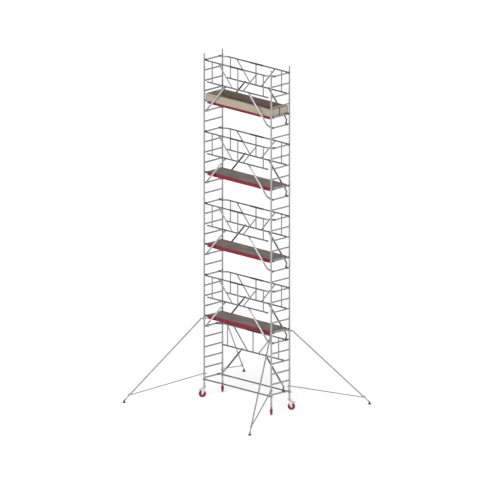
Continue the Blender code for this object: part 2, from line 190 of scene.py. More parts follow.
def inset(outline, distance):
    """A counterclockwise outline moved inwards by a distance."""
    moved = []
    count = len(outline)
    for index, point in enumerate(outline):
        here = Vector(point)
        before = (here - Vector(outline[index - 1])).normalized()
        after = (Vector(outline[(index + 1) % count]) - here).normalized()
        inward = Vector((-before.y - after.y, before.x + after.x))
        share = max(1 + before.dot(after), 0.4)
        moved.append(here + inward * distance / share)
    return moved


def turned(path):
    """A rotation at each point of a path that sends Z along it, with no twist between points."""
    turns = []
    for index in range(len(path)):
        way = (path[min(index + 1, len(path) - 1)] - path[max(index - 1, 0)]).normalized()
        if turns:
            turn = (turns[-1] @ UP).rotation_difference(way) @ turns[-1]
        else:
            turn = way.to_track_quat("Z", "Y")
        turns.append(turn)
    return turns


def hoop(centre, turn, radius, sides, flutes=0):
    """A circle of points about a path's point, with shallow flutes if asked."""
    points = []
    for step in range(sides):
        angle = math.tau * step / sides
        reach = radius
        if flutes:
            reach -= FLUTE_DEPTH * (0.5 - 0.5 * math.cos(flutes * angle))
        flat = Vector((reach * math.cos(angle), reach * math.sin(angle), 0))
        points.append(centre + turn @ flat)
    return points


def slide(point, way, host, sink=0.0):
    """Moves a point along a way out to a round host tube's surface, less a depth that sinks in."""
    centre, axis, radius = host
    offset = point - Vector(centre)
    axis = Vector(axis).normalized()
    across = offset - axis * offset.dot(axis)
    heading = way - axis * way.dot(axis)
    square = heading.length_squared
    mixed = across.dot(heading)
    root = mixed**2 - square * (across.length_squared - (radius - sink) ** 2)
    if root < 0:
        return point
    return point + way * ((math.sqrt(root) - mixed) / square)


def moved(x=0.0, y=0.0, z=0.0):
    """A frame moved by three distances."""
    return Matrix.Translation((x, y, z))


def spun(angle, axis="Z"):
    """A frame turned by an angle about an axis."""
    return Matrix.Rotation(angle, 4, axis)


def mirrored(half):
    """A profile of (radius, height), followed by its mirror image."""
    return [*half, *((radius, -height) for radius, height in reversed(half))]


def upright_plane(x=0.0, y=0.0, z=0.0, flipped=False):
    """A drawing plane whose X is the world's X, or -X if flipped, and whose Y is the world's Z."""
    side = -1 if flipped else 1
    turn = Matrix(((side, 0, 0, 0), (0, 0, -side, 0), (0, 1, 0, 0), (0, 0, 0, 1)))
    return moved(x, y, z) @ turn


def aimed(start, way):
    """A frame at a point with its Z along a way."""
    return Matrix.Translation(start) @ Vector(way).to_track_quat("Z", "Y").to_matrix().to_4x4()


class Shape:
    """A mesh put together from closed shells. V runs along tubes and U along boards."""

    def __init__(self):
        self.bm = bmesh.new()
        self.uv = self.bm.loops.layers.uv.new("UVMap")
        self.frame = Matrix()

    def at(self, matrix=None):
        """Sets the frame that the next shells are drawn in."""
        self.frame = matrix or Matrix()
        return self

    def face(self, verts, points, uvs=None):
        """A face, with UVs from its two flattest axes unless they are given."""
        face = self.bm.faces.new(verts)
        if uvs is None:
            facing = [abs(part) for part in normal([Vector(point) for point in points[:4]])]
            axis = facing.index(max(facing))
            first, second = ((1, 2), (0, 2), (0, 1))[axis]
            uvs = [(point[first], point[second]) for point in points]
        for loop, corner in zip(face.loops, uvs):
            loop[self.uv].uv = corner

    def loft(self, rings, closed=False, boxed=False):
        """A shell through rings of points. Its ends are capped, or joined if it is closed."""
        rings = [[Vector(point) for point in ring] for ring in rings]
        verts = [[self.bm.verts.new(self.frame @ point) for point in ring] for ring in rings]
        count = len(rings[0])
        around = [0.0]
        for index in range(count):
            around.append(around[-1] + (rings[0][(index + 1) % count] - rings[0][index]).length)
        along = 0.0
        for low in range(len(rings) if closed else len(rings) - 1):
            high = (low + 1) % len(rings)
            further = along + (rings[high][0] - rings[low][0]).length
            for index in range(count):
                after = (index + 1) % count
                keys = ((low, index), (low, after), (high, after), (high, index))
                left, right = around[index : index + 2]
                uvs = ((left, along), (right, along), (right, further), (left, further))
                corners = [verts[ring][place] for ring, place in keys]
                points = [rings[ring][place] for ring, place in keys]
                self.face(corners, points, None if boxed else uvs)
            along = further
        if not closed:
            self.face(verts[0], rings[0])
            self.face(verts[-1], rings[-1])

    def pipe(self, path, radius, wall=0.0, sides=TUBE_SIDES, hosts=(None, None), flutes=0):
        """A tube along a path, solid if it has no wall. An end with a host is coped and welded."""
        path = [Vector(point) for point in path]
        turns = turned(path)
        ways = (turns[0] @ UP, -(turns[-1] @ UP))

        def end_rings(index, reach, lip):
            rim = hoop(path[index], turns[index], reach, sides, flutes)
            if hosts[index]:
                return [[slide(point, ways[index], hosts[index], SINK) for point in rim]]
            inner = path[index] + ways[index] * EDGE
            return [
                hoop(path[index], turns[index], reach - lip, sides, flutes),
                hoop(inner, turns[index], reach, sides, flutes),
            ]

        def skin(reach, lip):
            middle = zip(path[1:-1], turns[1:-1])
            rings = [hoop(point, turn, reach, sides, flutes) for point, turn in middle]
            return [*end_rings(0, reach, lip), *rings, *reversed(end_rings(-1, reach, lip))]

        if wall:
            self.loft(skin(radius, EDGE) + skin(radius - wall, -EDGE)[::-1], closed=True)
        else:
            self.loft(skin(radius, EDGE))
        for index in (0, -1):
            if hosts[index]:
                self.bead(path[index], turns[index], radius, ways[index], hosts[index])

    def bead(self, centre, turn, radius, way, host):
        """A weld bead round a tube where it meets its host."""
        rings = []
        for step in range(BEAD_STEPS):
            angle = math.tau * step / BEAD_STEPS
            radial = turn @ Vector((math.cos(angle), math.sin(angle), 0))
            middle = slide(centre + radial * radius, way, host)
            size = BEAD_SIZE * (1.12 if step % 2 else 0.9)
            ring = []
            for side in range(8):
                round_angle = math.tau * side / 8
                out = radial * math.cos(round_angle) + way * math.sin(round_angle)
                ring.append(middle + out * size)
            rings.append(ring)
        self.loft(rings, closed=True)

    def lathe(self, profile, sides=TUBE_SIDES, closed=False):
        """Turns a profile of (radius, height) about Z; a closed profile makes a ring."""
        rings = []
        for radius, height in profile:
            rings.append(hoop(Vector((0, 0, height)), UP.to_track_quat("Z", "Y"), radius, sides))
        self.loft(rings, closed=closed)

    def prism(self, outline, low, high, edge=EDGE):
        """A flat outline drawn in XY, extruded along Z, with its edges eased."""
        inner = inset(outline, edge)
        rings = [
            [(x, y, low) for x, y in inner], [(x, y, low + edge) for x, y in outline],
            [(x, y, high - edge) for x, y in outline], [(x, y, high) for x, y in inner],
        ]
        self.loft(rings, boxed=True)

    def plate(self, outline, side, near, far, edge):
        """A prism between two distances from the drawing plane, on one side of it."""
        low, high = sorted((side * near, side * far))
        self.prism(outline, low, high, edge)

    def block(self, first, last, edge=EDGE):
        """A box between two opposite corners, with eased edges."""
        low, high = zip(*(sorted(pair) for pair in zip(first, last)))
        outline = []
        for x, y, side_x, side_y in (
            (low[0], low[1], 1, 1), (high[0], low[1], -1, 1), (high[0], high[1], -1, -1),
            (low[0], high[1], 1, -1),
        ):
            pair = [(x, y + side_y * edge), (x + side_x * edge, y)]
            outline += pair if side_x == side_y else reversed(pair)
        self.prism(outline, low[2], high[2], edge / 2)

    def window(self, board, hole, bottom, top):
        """A board with a rectangular opening, each given by its low and high corner."""
        middle = [sum(parts) / 2 for parts in zip(*hole)]
        rings = []
        for x, y in ((0, 0), (1, 0), (1, 1), (0, 1)):
            outer = (board[x][0], board[y][1])
            inner = (hole[x][0], hole[y][1])
            outward = [math.copysign(EDGE, part - centre) for part, centre in zip(inner, middle)]
            eased = Vector(inner) + Vector(outward)
            rings.append(
                [(*outer, top), (*eased, top), (*inner, top - EDGE), (*inner, bottom), (*outer, bottom)]
            )
        self.loft(rings, closed=True, boxed=True)

    def hexagon(self, radius, low, high):
        """A hexagon nut or bolt head about Z."""
        self.prism(arc(0, 0, radius, 0, 300, 5), low, high, 0.0008)

    def dome(self, radius, height, sides=16):
        """A rivet or button head standing on Z = 0, with a short shank below."""
        rim = 0.2 * height
        self.lathe(
            [
                (radius * 0.5, -height), (radius * 0.98, -height * 0.2), (radius, rim),
                (radius * 0.85, height * 0.62), (radius * 0.5, height * 0.93),
                (radius * 0.12, height),
            ],
            sides,
        )

    def stud(self, point, way, radius, height, sides=16):
        """A dome on a surface, facing a way."""
        self.at(aimed(point, way)).dome(radius, height, sides)

    def mesh(self, name, *finishes):
        """The finished mesh, with faces out, sharp creases and weighted normals."""
        bmesh.ops.recalc_face_normals(self.bm, faces=self.bm.faces)
        rough = bpy.data.meshes.new(name)
        self.bm.to_mesh(rough)
        self.bm.free()
        for finish in finishes:
            rough.materials.append(finish)
        rough.shade_smooth()
        rough.set_sharp_from_angle(angle=math.radians(SHARP_ANGLE))
        holder = bpy.data.objects.new("holder", rough)
        bpy.context.scene.collection.objects.link(holder)
        weighting = holder.modifiers.new("weighting", "WEIGHTED_NORMAL")
        weighting.keep_sharp = True
        graph = bpy.context.evaluated_depsgraph_get()
        mesh = bpy.data.meshes.new_from_object(
            holder.evaluated_get(graph), preserve_all_data_layers=True, depsgraph=graph,
        )
        bpy.data.objects.remove(holder)
        mesh.name = name
        return mesh


def piece(name, mesh, body, place=None, nodes=()):
    """A shown piece, riding on a body and standing for CAD nodes."""
    obj = bpy.data.objects.new(name, mesh)
    bpy.context.scene.collection.objects.link(obj)
    obj.matrix_world = place or Matrix()
    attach(obj, body)
    if nodes:
        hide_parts(*nodes)


def dress(node, body, parts, meshes, place):
    """Places the named pieces of a CAD node. The first of them stands for the node."""
    for part, mesh in zip(parts, meshes):
        piece(f"{node}_{part}", mesh, body, place, [node] if part == parts[0] else ())


def add_node(tree, kind, links=None, **settings):
    """A shader node with its settings made and its inputs linked or set."""
    node = tree.nodes.new(kind)
    for key, value in settings.items():
        setattr(node, key, value)
    for key, value in (links or {}).items():
        if isinstance(value, bpy.types.NodeSocket):
            tree.links.new(value, node.inputs[key])
        else:
            node.inputs[key].default_value = value
    return node


# ---------------------------------------------------------------- finishes


class Finish:
    """A procedural material whose patterns feed one Principled shader."""

    def __init__(self, name, colour, roughness, metallic=0.0, coat=0.0, specular=0.5):
        self.material = bpy.data.materials.new(name)
        self.material.use_nodes = True
        self.tree = self.material.node_tree
        self.shader = self.tree.nodes["Principled BSDF"]
        values = {
            "Base Color": (*colour, 1), "Roughness": roughness, "Metallic": metallic,
            "Coat Weight": coat, "Coat Roughness": 0.22, "Specular IOR Level": specular,
        }
        for key, value in values.items():
            self.shader.inputs[key].default_value = value

    def node(self, kind, links=None, **settings):
        return add_node(self.tree, kind, links, **settings)

    def coordinates(self, source, stretch):
        """Texture coordinates, UV or Object, stretched by three factors."""
        start = self.node("ShaderNodeTexCoord").outputs[source]
        links = {"Vector": start, "Scale": stretch}
        return self.node("ShaderNodeMapping", links).outputs["Vector"]

    def noise(self, scale, stretch=(1, 1, 1), source="Object", detail=4.0, rough=0.55):
        links = {
            "Vector": self.coordinates(source, stretch), "Scale": scale, "Detail": detail,
            "Roughness": rough,
        }
        return self.node("ShaderNodeTexNoise", links).outputs["Fac"]

    def cells(self, scale):
        links = {"Vector": self.coordinates("Object", (1, 1, 1)), "Scale": scale}
        return self.node("ShaderNodeTexVoronoi", links).outputs[0]

    def bands(self, pitch, direction):
        """Stripes across one direction of the UVs, with a pitch in metres."""
        links = {"Vector": self.coordinates("UV", (1, 1, 1)), "Scale": math.tau / 20 / pitch}
        wave = self.node("ShaderNodeTexWave", links, bands_direction=direction)
        return wave.outputs["Fac"]

    def spread(self, value, low, high, to_low=0.0, to_high=1.0):
        """A value's range from low to high, remapped and clamped."""
        links = {
            "Value": value, "From Min": low, "From Max": high, "To Min": to_low, "To Max": to_high,
        }
        return self.node("ShaderNodeMapRange", links).outputs["Result"]

    def combine(self, operation, first, second):
        links = {0: first, 1: second}
        return self.node("ShaderNodeMath", links, operation=operation).outputs[0]

    def mix(self, factor, first, second):
        """A colour between two colours or sockets."""
        links = {0: factor}
        for index, colour in ((6, first), (7, second)):
            is_socket = isinstance(colour, bpy.types.NodeSocket)
            links[index] = colour if is_socket else (*colour, 1)
        return self.node("ShaderNodeMix", links, data_type="RGBA").outputs[2]

    def colour(self, socket):
        self.tree.links.new(socket, self.shader.inputs["Base Color"])

    def roughness(self, socket):
        self.tree.links.new(socket, self.shader.inputs["Roughness"])

    def bump(self, height, strength, distance):
        links = {"Height": height, "Strength": strength, "Distance": distance}
        relief = self.node("ShaderNodeBump", links)
        self.tree.links.new(relief.outputs["Normal"], self.shader.inputs["Normal"])


def aluminium(name, tone):
    """Mill-finish extruded tube: faint draw lines along it, cloudy oxide and small rubs."""
    finish = Finish(name, (tone, tone, tone), 0.34, 1.0)
    lines = finish.noise(1.0, (900, 3, 1), "UV", 3.0)
    clouds = finish.noise(9.0, detail=5.0)
    rubs = finish.spread(finish.noise(60.0, (1, 1, 0.25), detail=6.0), 0.6, 0.72)
    shade = finish.combine("ADD", finish.combine("MULTIPLY", lines, 0.45), clouds)
    shade = finish.spread(shade, 0.45, 1.0)
    dull = [tone * part for part in (0.86, 0.87, 0.89)]
    clean = [tone * part for part in (1.1, 1.115, 1.13)]
    rubbed = [tone * 1.4] * 3
    base = finish.mix(shade, dull, clean)
    finish.colour(finish.mix(finish.combine("MULTIPLY", rubs, 0.35), base, rubbed))
    finish.roughness(finish.spread(clouds, 0.3, 0.7, 0.27, 0.42))
    finish.bump(lines, 0.12, 0.0002)
    return finish.material


def zinc():
    """Zinc-plated steel with faint spangle."""
    finish = Finish("zinc_plate", (0.6, 0.61, 0.63), 0.36, 1.0)
    spangle = finish.cells(140.0)
    stain = finish.noise(30.0, detail=5.0)
    base = finish.mix(finish.spread(spangle, 0.1, 0.7), (0.66, 0.67, 0.69), (0.5, 0.51, 0.54))
    finish.colour(finish.mix(finish.spread(stain, 0.52, 0.72, 0.0, 0.5), base, (0.36, 0.36, 0.36)))
    finish.roughness(finish.spread(stain, 0.35, 0.65, 0.26, 0.46))
    finish.bump(stain, 0.08, 0.0003)
    return finish.material


def nylon(name, dark, light, roughness, grain=1500.0):
    """Moulded plastic with a fine grained skin and slightly rubbed patches."""
    finish = Finish(name, dark, roughness)
    skin = finish.noise(grain, detail=2.0)
    patch = finish.noise(28.0, detail=5.0)
    finish.colour(finish.mix(finish.spread(patch, 0.4, 0.72), dark, light))
    finish.roughness(finish.spread(patch, 0.3, 0.7, roughness + 0.08, roughness - 0.1))
    finish.bump(skin, 0.25, 0.0002)
    return finish.material


def red_coat():
    """Crimson powder coat: orange-peel skin under a light gloss, with fine scuffs along the beam."""
    finish = Finish("red_coat", (0.26, 0.004, 0.022), 0.4, coat=0.04, specular=0.25)
    depth = finish.noise(5.0, detail=3.0)
    base = finish.mix(finish.spread(depth, 0.3, 0.7), (0.22, 0.003, 0.018), (0.3, 0.006, 0.028))
    scuffs = finish.spread(finish.noise(1.0, (700, 14, 1), "UV", 6.0), 0.66, 0.74)
    scuffs = finish.combine("MULTIPLY", scuffs, finish.spread(depth, 0.52, 0.62))
    finish.colour(finish.mix(scuffs, base, (0.36, 0.08, 0.1)))
    finish.roughness(finish.spread(scuffs, 0.0, 1.0, 0.34, 0.6))
    finish.bump(finish.noise(420.0, detail=2.0), 0.1, 0.0004)
    return finish.material


def deck_film():
    """Brown anti-slip film: a pressed mesh pattern, with paler trodden and dusty patches."""
    finish = Finish("deck_film", (0.24, 0.18, 0.155), 0.62)
    mesh = finish.combine("MAXIMUM", finish.bands(0.0055, "X"), finish.bands(0.0055, "Y"))
    tread = finish.noise(3.2, detail=6.0)
    grit = finish.noise(180.0, detail=3.0)
    base = finish.mix(finish.spread(tread, 0.35, 0.68), (0.222, 0.166, 0.144), (0.318, 0.262, 0.242))
    specks = finish.spread(grit, 0.55, 0.75, 0.0, 0.5)
    finish.colour(finish.mix(specks, base, (0.15, 0.11, 0.092)))
    finish.roughness(finish.spread(tread, 0.3, 0.7, 0.52, 0.75))
    finish.bump(mesh, 0.35, 0.0005)
    return finish.material


def pale_board():
    """Sealed pale board with long grain along U."""
    finish = Finish("pale_board", (0.52, 0.46, 0.32), 0.5, coat=0.06)
    warp = finish.noise(1.0, (0.9, 9, 9), "UV", 3.0)
    grain = finish.noise(1.0, (5, 170, 170), "UV", 6.0, 0.62)
    fibre = finish.noise(1.0, (30, 900, 900), "UV", 3.0)
    base = finish.mix(finish.spread(warp, 0.32, 0.7), (0.455, 0.375, 0.26), (0.55, 0.48, 0.375))
    base = finish.mix(finish.spread(grain, 0.48, 0.72, 0.0, 0.55), base, (0.4, 0.3, 0.17))
    finish.colour(finish.mix(finish.spread(fibre, 0.4, 0.75, 0.0, 0.22), base, (0.33, 0.24, 0.14)))
    finish.roughness(finish.spread(grain, 0.3, 0.7, 0.42, 0.6))
    finish.bump(grain, 0.2, 0.0004)
    return finish.material


def polyurethane():
    """Crimson polyurethane tread, slightly dusty where it rolls."""
    finish = Finish("polyurethane", (0.24, 0.008, 0.033), 0.38, coat=0.08, specular=0.35)
    dust = finish.noise(35.0, detail=6.0)
    base = finish.mix(finish.spread(dust, 0.3, 0.7), (0.2, 0.006, 0.026), (0.28, 0.01, 0.04))
    finish.colour(finish.mix(finish.spread(dust, 0.6, 0.8, 0.0, 0.4), base, (0.36, 0.09, 0.11)))
    finish.roughness(finish.spread(dust, 0.35, 0.7, 0.3, 0.5))
    finish.bump(finish.noise(600.0, detail=2.0), 0.08, 0.0003)
    return finish.material


def rubber():
    """Near-black rubber with a brown tinge and a matt, dusty skin."""
    finish = Finish("rubber", (0.035, 0.022, 0.022), 0.78)
    dust = finish.noise(45.0, detail=6.0)
    base = finish.mix(finish.spread(dust, 0.4, 0.75), (0.06, 0.02, 0.023), (0.125, 0.062, 0.062))
    finish.colour(base)
    finish.roughness(finish.spread(dust, 0.3, 0.7, 0.68, 0.85))
    finish.bump(finish.noise(900.0, detail=2.0), 0.3, 0.0003)
    return finish.material


ALUMINIUM = aluminium("aluminium", 0.4)
# Darker copy of the aluminium for the rail and brace tubes that run along X: painted shade.
SHADED_RAIL_ALUMINIUM = aluminium("shaded_rail_aluminium", 0.34)
BRIGHT_ALUMINIUM = aluminium("bright_aluminium", 0.8)
ZINC = zinc()
DARK_NYLON = nylon("dark_nylon", (0.04, 0.041, 0.044), (0.085, 0.086, 0.09), 0.55)
CRIMSON_NYLON = nylon("crimson_nylon", (0.2, 0.008, 0.028), (0.28, 0.012, 0.04), 0.42)
GREY_COAT = nylon("grey_coat", (0.2, 0.2, 0.21), (0.3, 0.3, 0.31), 0.45, 700.0)
RED_COAT = red_coat()
DECK_FILM = deck_film()
# Near-black strip for the foot of the long toe boards' inner faces: painted shadow.
FOOT_SHADOW_FILM = nylon("painted_foot_shadow", (0.075, 0.042, 0.028), (0.105, 0.062, 0.042), 0.6, 900.0)
# Brown sheet for the long toe boards' inner faces: painted shade.
INNER_SHADE_FILM = nylon("painted_inner_shade", (0.25, 0.205, 0.15), (0.32, 0.268, 0.205), 0.6, 900.0)
PALE_BOARD = pale_board()
# Paler copy of the aluminium for the outer strips on the splayed legs: painted light.
LIT_SIDE_ALUMINIUM = aluminium("painted_light_aluminium", 0.58)
PALE_COAT = nylon("pale_coat", (0.72, 0.67, 0.67), (0.82, 0.79, 0.79), 0.35, 500.0)
POLYURETHANE = polyurethane()
RUBBER = rubber()


# ---------------------------------------------------------------- hooks shared by several parts


def hook(dark, steel, end, y, z, width, tail, socket_r=0.0, socket_way=None):
    """A hook over an end's rung at (y, z), with its latch, rivets and tube socket."""
    matrix = upright_plane(end * END_X, y, z, flipped=end < 0)
    seat = RUNG_R + 0.001
    back = RUNG_R + 0.0112
    outline = [
        (seat, -0.0195), (back - 0.0025, -0.0195), *arc(0, 0, back, -15, 116, 10),
        (-RUNG_R - 0.0165, 0.0145), (-tail, 0.0145), (-tail, -0.014), (-RUNG_R - 0.0095, -0.014),
        *arc(0, 0, seat, 205, 0, 12),
    ]
    latch = [
        (-RUNG_R - 0.0135, -0.002), *arc(0, 0, RUNG_R + 0.0065, 214, 312, 8),
        *arc(0, 0, RUNG_R + 0.0006, 312, 204, 8), (-RUNG_R - 0.004, 0.0075),
        (-RUNG_R - 0.0125, 0.0085),
    ]
    dark.at(matrix).prism(outline, -width / 2, width / 2, 0.0018)
    for side in (-1, 1):
        steel.at(matrix).plate(latch, side, width / 2 + 0.0004, width / 2 + 0.003, 0.0005)
        flip = spun(math.pi if side < 0 else 0, "X")
        for x, y in ((-RUNG_R - 0.008, 0.0035), (-0.046, 0.0)):
            button = matrix @ moved(x, y, side * (width / 2 + 0.0028)) @ flip
            steel.at(button).dome(0.0042, 0.0016)
    if socket_way:
        start = matrix @ Vector((-tail + 0.012, 0, 0))
        end = start - Vector(socket_way).normalized() * 0.042
        dark.at().pipe([end, start], socket_r + 0.0026, 0.0022, 24)
        lip = [(0.0004, 0.0), (0.004, 0.0008), (0.0044, 0.006), (0.003, 0.008), (0.0004, 0.008)]
        rim = [(socket_r + out, z) for out, z in lip]
        dark.at(aimed(end, start - end)).lathe(rim, 24, closed=True)


# ---------------------------------------------------------------- end frames


def frame_mesh(rungs):
    """A ladder frame standing at the origin: uprights, swaged spigots, fluted and welded rungs."""
    shape = Shape()
    height = rungs * RUNG_PITCH - GAP
    for side in (-SIDE_Y, SIDE_Y):
        top = Vector((0, side, height))
        shape.pipe([(0, side, 0), top], UPRIGHT_R, UPRIGHT_WALL)
        shape.pipe([top - UP * 0.05, top + UP * SPIGOT_LENGTH], SPIGOT_R, SPIGOT_WALL)
        bore = UPRIGHT_R - UPRIGHT_WALL + PLAY
        shape.at(Matrix.Translation(top))
        shape.lathe(
            [
                (SPIGOT_R - 0.0005, -0.012), (bore, -0.012), (bore, -0.0015),
                (SPIGOT_R - 0.0005, -0.0005),
            ],
            closed=True,
        )
        for way in (Vector((1, 0, 0)), Vector((-1, 0, 0))):
            for drop in (0.018, 0.036):
                shape.stud(top - UP * drop + way * (UPRIGHT_R - 0.0004), way, 0.0045, 0.0018)
        shape.at()
    for index in range(rungs):
        z = FIRST_RUNG + index * RUNG_PITCH
        ends = [(0, -SIDE_Y, z), (0, SIDE_Y, z)]
        hosts = [(end, UP, UPRIGHT_R) for end in ends]
        shape.pipe(ends, RUNG_R, RUNG_WALL, 4 * RUNG_FLUTES, hosts, RUNG_FLUTES)
    return shape.mesh(f"frame_of_{rungs}_rungs", ALUMINIUM)


def clip_mesh():
    """Spring clips for one joint level at the origin: a pin through each tube and a wire round it."""
    shape = Shape()
    rise = 0.045
    reach = UPRIGHT_R + 0.0055
    for x in (-END_X, END_X):
        for y in (-SIDE_Y, SIDE_Y):
            turn = math.pi if y < 0 else 0
            shape.at(moved(x, y) @ spun(turn))
            shape.pipe([(-reach, 0, rise), (reach + 0.004, 0, rise)], 0.0035, sides=12)
            path = [(reach + 0.002, 0, rise)]
            for wire_x, wire_y in arc(0, 0, reach, 8, 172, 14):
                sag = 0.012 * wire_y / reach
                path.append((wire_x, wire_y, rise - sag))
            path.append((-reach - 0.001, 0, rise))
            shape.pipe(path, 0.0018, sides=8)
    return shape.mesh("clips", ZINC)


def build_frames():
    meshes = {}
    for side, end in (("left", -1), ("right", 1)):
        for level in range(1, 6):
            node = f"{side}_end_frame_{level}"
            low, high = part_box(node)
            rungs = round((high.z - low.z - SPIGOT_LENGTH) / RUNG_PITCH)
            if rungs not in meshes:
                meshes[rungs] = frame_mesh(rungs)
            dress(node, "tower", ("tubes",), (meshes[rungs],), moved(end * END_X, 0, low.z))
    clips = clip_mesh()
    for level in range(2, 6):
        joint = moved(z=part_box(f"left_end_frame_{level}")[0].z)
        piece(f"locking_clips_{level - 1}", clips, "tower", joint)


# ---------------------------------------------------------------- guardrails and braces


def end_cap(shape, start, way, radius):
    """A moulded cap pushed on a tube's end."""
    shape.at(aimed(start, way)).lathe(
        [
            (radius + 0.0006, -0.02), (radius + 0.0016, -0.0192), (radius + 0.0018, 0.0),
            (radius + 0.001, 0.0028), (radius * 0.6, 0.0046), (radius * 0.1, 0.005),
            (radius * 0.09, -0.004), (radius + 0.0004, -0.004),
        ],
        24, closed=True,
    )


def guardrail_meshes():
    """A front guardrail frame with its platform's rungs at z = 0: tubes, hooks and grips, latches."""
    tubes, dark, lit_side, steel = (Shape() for _ in range(4))
    front = -SIDE_Y
    along = Vector((1, 0, 0))
    top_host = ((0, front, TOP_RAIL_Z), along, RAIL_R)
    low_host = ((0, front, LOW_RAIL_Z), along, RAIL_R)
    claw_x = END_X - CLAW_REACH
    top_points = [
        Vector((-claw_x, -STRAIGHT_CLAW_Y, TOP_RAIL_Z)), Vector((-END_X + 0.1, front, TOP_RAIL_Z)),
        Vector((BENT_END_X, front, TOP_RAIL_Z)), Vector((claw_x, -BENT_CLAW_Y, TOP_RAIL_Z)),
    ]
    tubes.pipe(rounded(top_points, 0.035), RAIL_R, TUBE_WALL)
    low_ends = {end: (end * (LOW_RAIL_END - 0.003), front, LOW_RAIL_Z) for end in (-1, 1)}
    tubes.pipe([low_ends[-1], low_ends[1]], RAIL_R, TUBE_WALL)
    struts = [(x, x) for x in (-POST_X, 0, POST_X)]
    struts += [(side * BRACE_LOW_X, side * BRACE_TOP_X) for side in (-1, 1)]
    for low_x, top_x in struts:
        ends = [(low_x, front, LOW_RAIL_Z), (top_x, front, TOP_RAIL_Z)]
        tubes.pipe(ends, STRUT_R, TUBE_WALL, hosts=(low_host, top_host))
    for end, y in ((-1, -STRAIGHT_CLAW_Y), (1, -BENT_CLAW_Y)):
        way = top_points[0] - top_points[1] if end < 0 else top_points[3] - top_points[2]
        hook(dark, steel, end, y, TOP_RAIL_Z, HOOK_WIDTH, HOOK_TAIL, RAIL_R, way)
    for end, foot_y in ((-1, -LEFT_FOOT_Y), (1, -RIGHT_FOOT_Y)):
        top = Vector((end * LEG_TOP_X, front - LEG_OUT, LOW_RAIL_Z + LEG_TOP_RISE))
        bend = Vector((end * LEG_BEND_X, front - LEG_OUT, FOOT_Z + LEG_BEND_RISE))
        foot = Vector((end * claw_x, foot_y, FOOT_Z))
        tubes.pipe(rounded([top, bend, foot], 0.03), SPLAYED_LEG_R, TUBE_WALL)
        end_cap(dark, top, top - bend, SPLAYED_LEG_R)
        hook(dark, steel, end, foot_y, FOOT_Z, HOOK_WIDTH, HOOK_TAIL, SPLAYED_LEG_R, foot - bend)
        end_cap(dark, low_ends[end], along * end, RAIL_R)
        # Two strips along each splayed leg: a dark one on its inner side is painted shade, a pale one
        # on its outer side is painted light.
        leg = bend - top
        strip = aimed(top + leg * PAINTED_STRIP_START, leg)
        inward = strip.to_3x3().inverted() @ Vector((0, 1, 0))
        facing = math.degrees(math.atan2(inward.y, inward.x))
        for painted_strip, way, reach in ((dark, facing, 60), (lit_side, facing + 180, 84)):
            strip_outline = [*arc(0, 0, SPLAYED_LEG_R + 0.0014, way - reach, way + reach, 14)]
            strip_outline += arc(0, 0, SPLAYED_LEG_R - 0.0004, way + reach, way - reach, 14)
            painted_strip.at(strip).prism(strip_outline, 0, leg.length * PAINTED_STRIP_SHARE, 0.0004)
    grip = [(RAIL_R + PLAY, 0.0), (RAIL_R + 0.002, 0.0006)]
    for ring in range(27):
        z = 0.01 + 0.0175 * ring
        grip += [
            (RAIL_R + 0.0022, z - 0.006), (RAIL_R + 0.003, z - 0.004), (RAIL_R + 0.003, z + 0.004),
            (RAIL_R + 0.0022, z + 0.006),
        ]
    length = GRIP[1] - GRIP[0]
    grip += [(RAIL_R + 0.002, length - 0.0006), (RAIL_R + PLAY, length)]
    dark.at(aimed((GRIP[0], front, TOP_RAIL_Z), along)).lathe(grip, closed=True)
    return (
        tubes.mesh("guardrail_tubes", SHADED_RAIL_ALUMINIUM), dark.mesh("guardrail_fittings", DARK_NYLON),
        lit_side.mesh("guardrail_painted_light_strips", LIT_SIDE_ALUMINIUM), steel.mesh("guardrail_latches", ZINC),
    )


def brace_meshes():
    """The front base brace, with a hook and a lock for each upright."""
    tube, dark, steel = (Shape() for _ in range(3))
    reach = END_X - CLAW_REACH
    tube.pipe([(-reach, -SIDE_Y, 0), (reach, -SIDE_Y, 0)], RAIL_R, TUBE_WALL)
    seat = UPRIGHT_R + 0.0012
    outline = [
        (0.06, -0.014), (0.06, 0.014), (0.034, 0.026), *arc(0, 0, 0.038, 42, 176, 12),
        (-0.0385, -0.028), (-0.034, -0.032), (-seat - 0.001, -0.03), *arc(0, 0, seat, 180, 0, 14),
        (seat + 0.001, -0.03), (0.034, -0.032), (0.0385, -0.028), (0.04, -0.014),
    ]
    for end in (-1, 1):
        turn = spun(math.pi, "Y") if end > 0 else Matrix()
        matrix = moved(end * END_X, -SIDE_Y, 0) @ turn
        dark.at(matrix).prism(outline, -0.02, 0.02, 0.0025)
        way = Vector((-end, 0, 0))
        start = Vector((end * (END_X - 0.056), -SIDE_Y, 0))
        dark.at().pipe([start, start + way * 0.05], RAIL_R + 0.0028, 0.0024, 24)
        bar = Vector((0, -0.0305, 0))
        for z in (-0.012, 0.012):
            lift = Vector((0, 0, z))
            steel.at(matrix).pipe([bar + lift - Vector((0.036, 0, 0)), bar + lift], 0.003, sides=12)
        steel.at(matrix).pipe(
            rounded([(-0.041, -0.008, 0.015), (-0.046, -0.03, 0), (-0.041, -0.008, -0.015)], 0.012),
            0.0022, sides=10,
        )
        for z in (-0.0195, 0.0195):
            flip = spun(math.pi if z < 0 else 0, "X")
            for x in (0.046, -0.033):
                steel.at(matrix @ moved(x, 0, z) @ flip).dome(0.005, 0.002)
    return (
        tube.mesh("brace_tube", SHADED_RAIL_ALUMINIUM), dark.mesh("brace_hooks", GREY_COAT),
        steel.mesh("brace_locks", ZINC),
    )


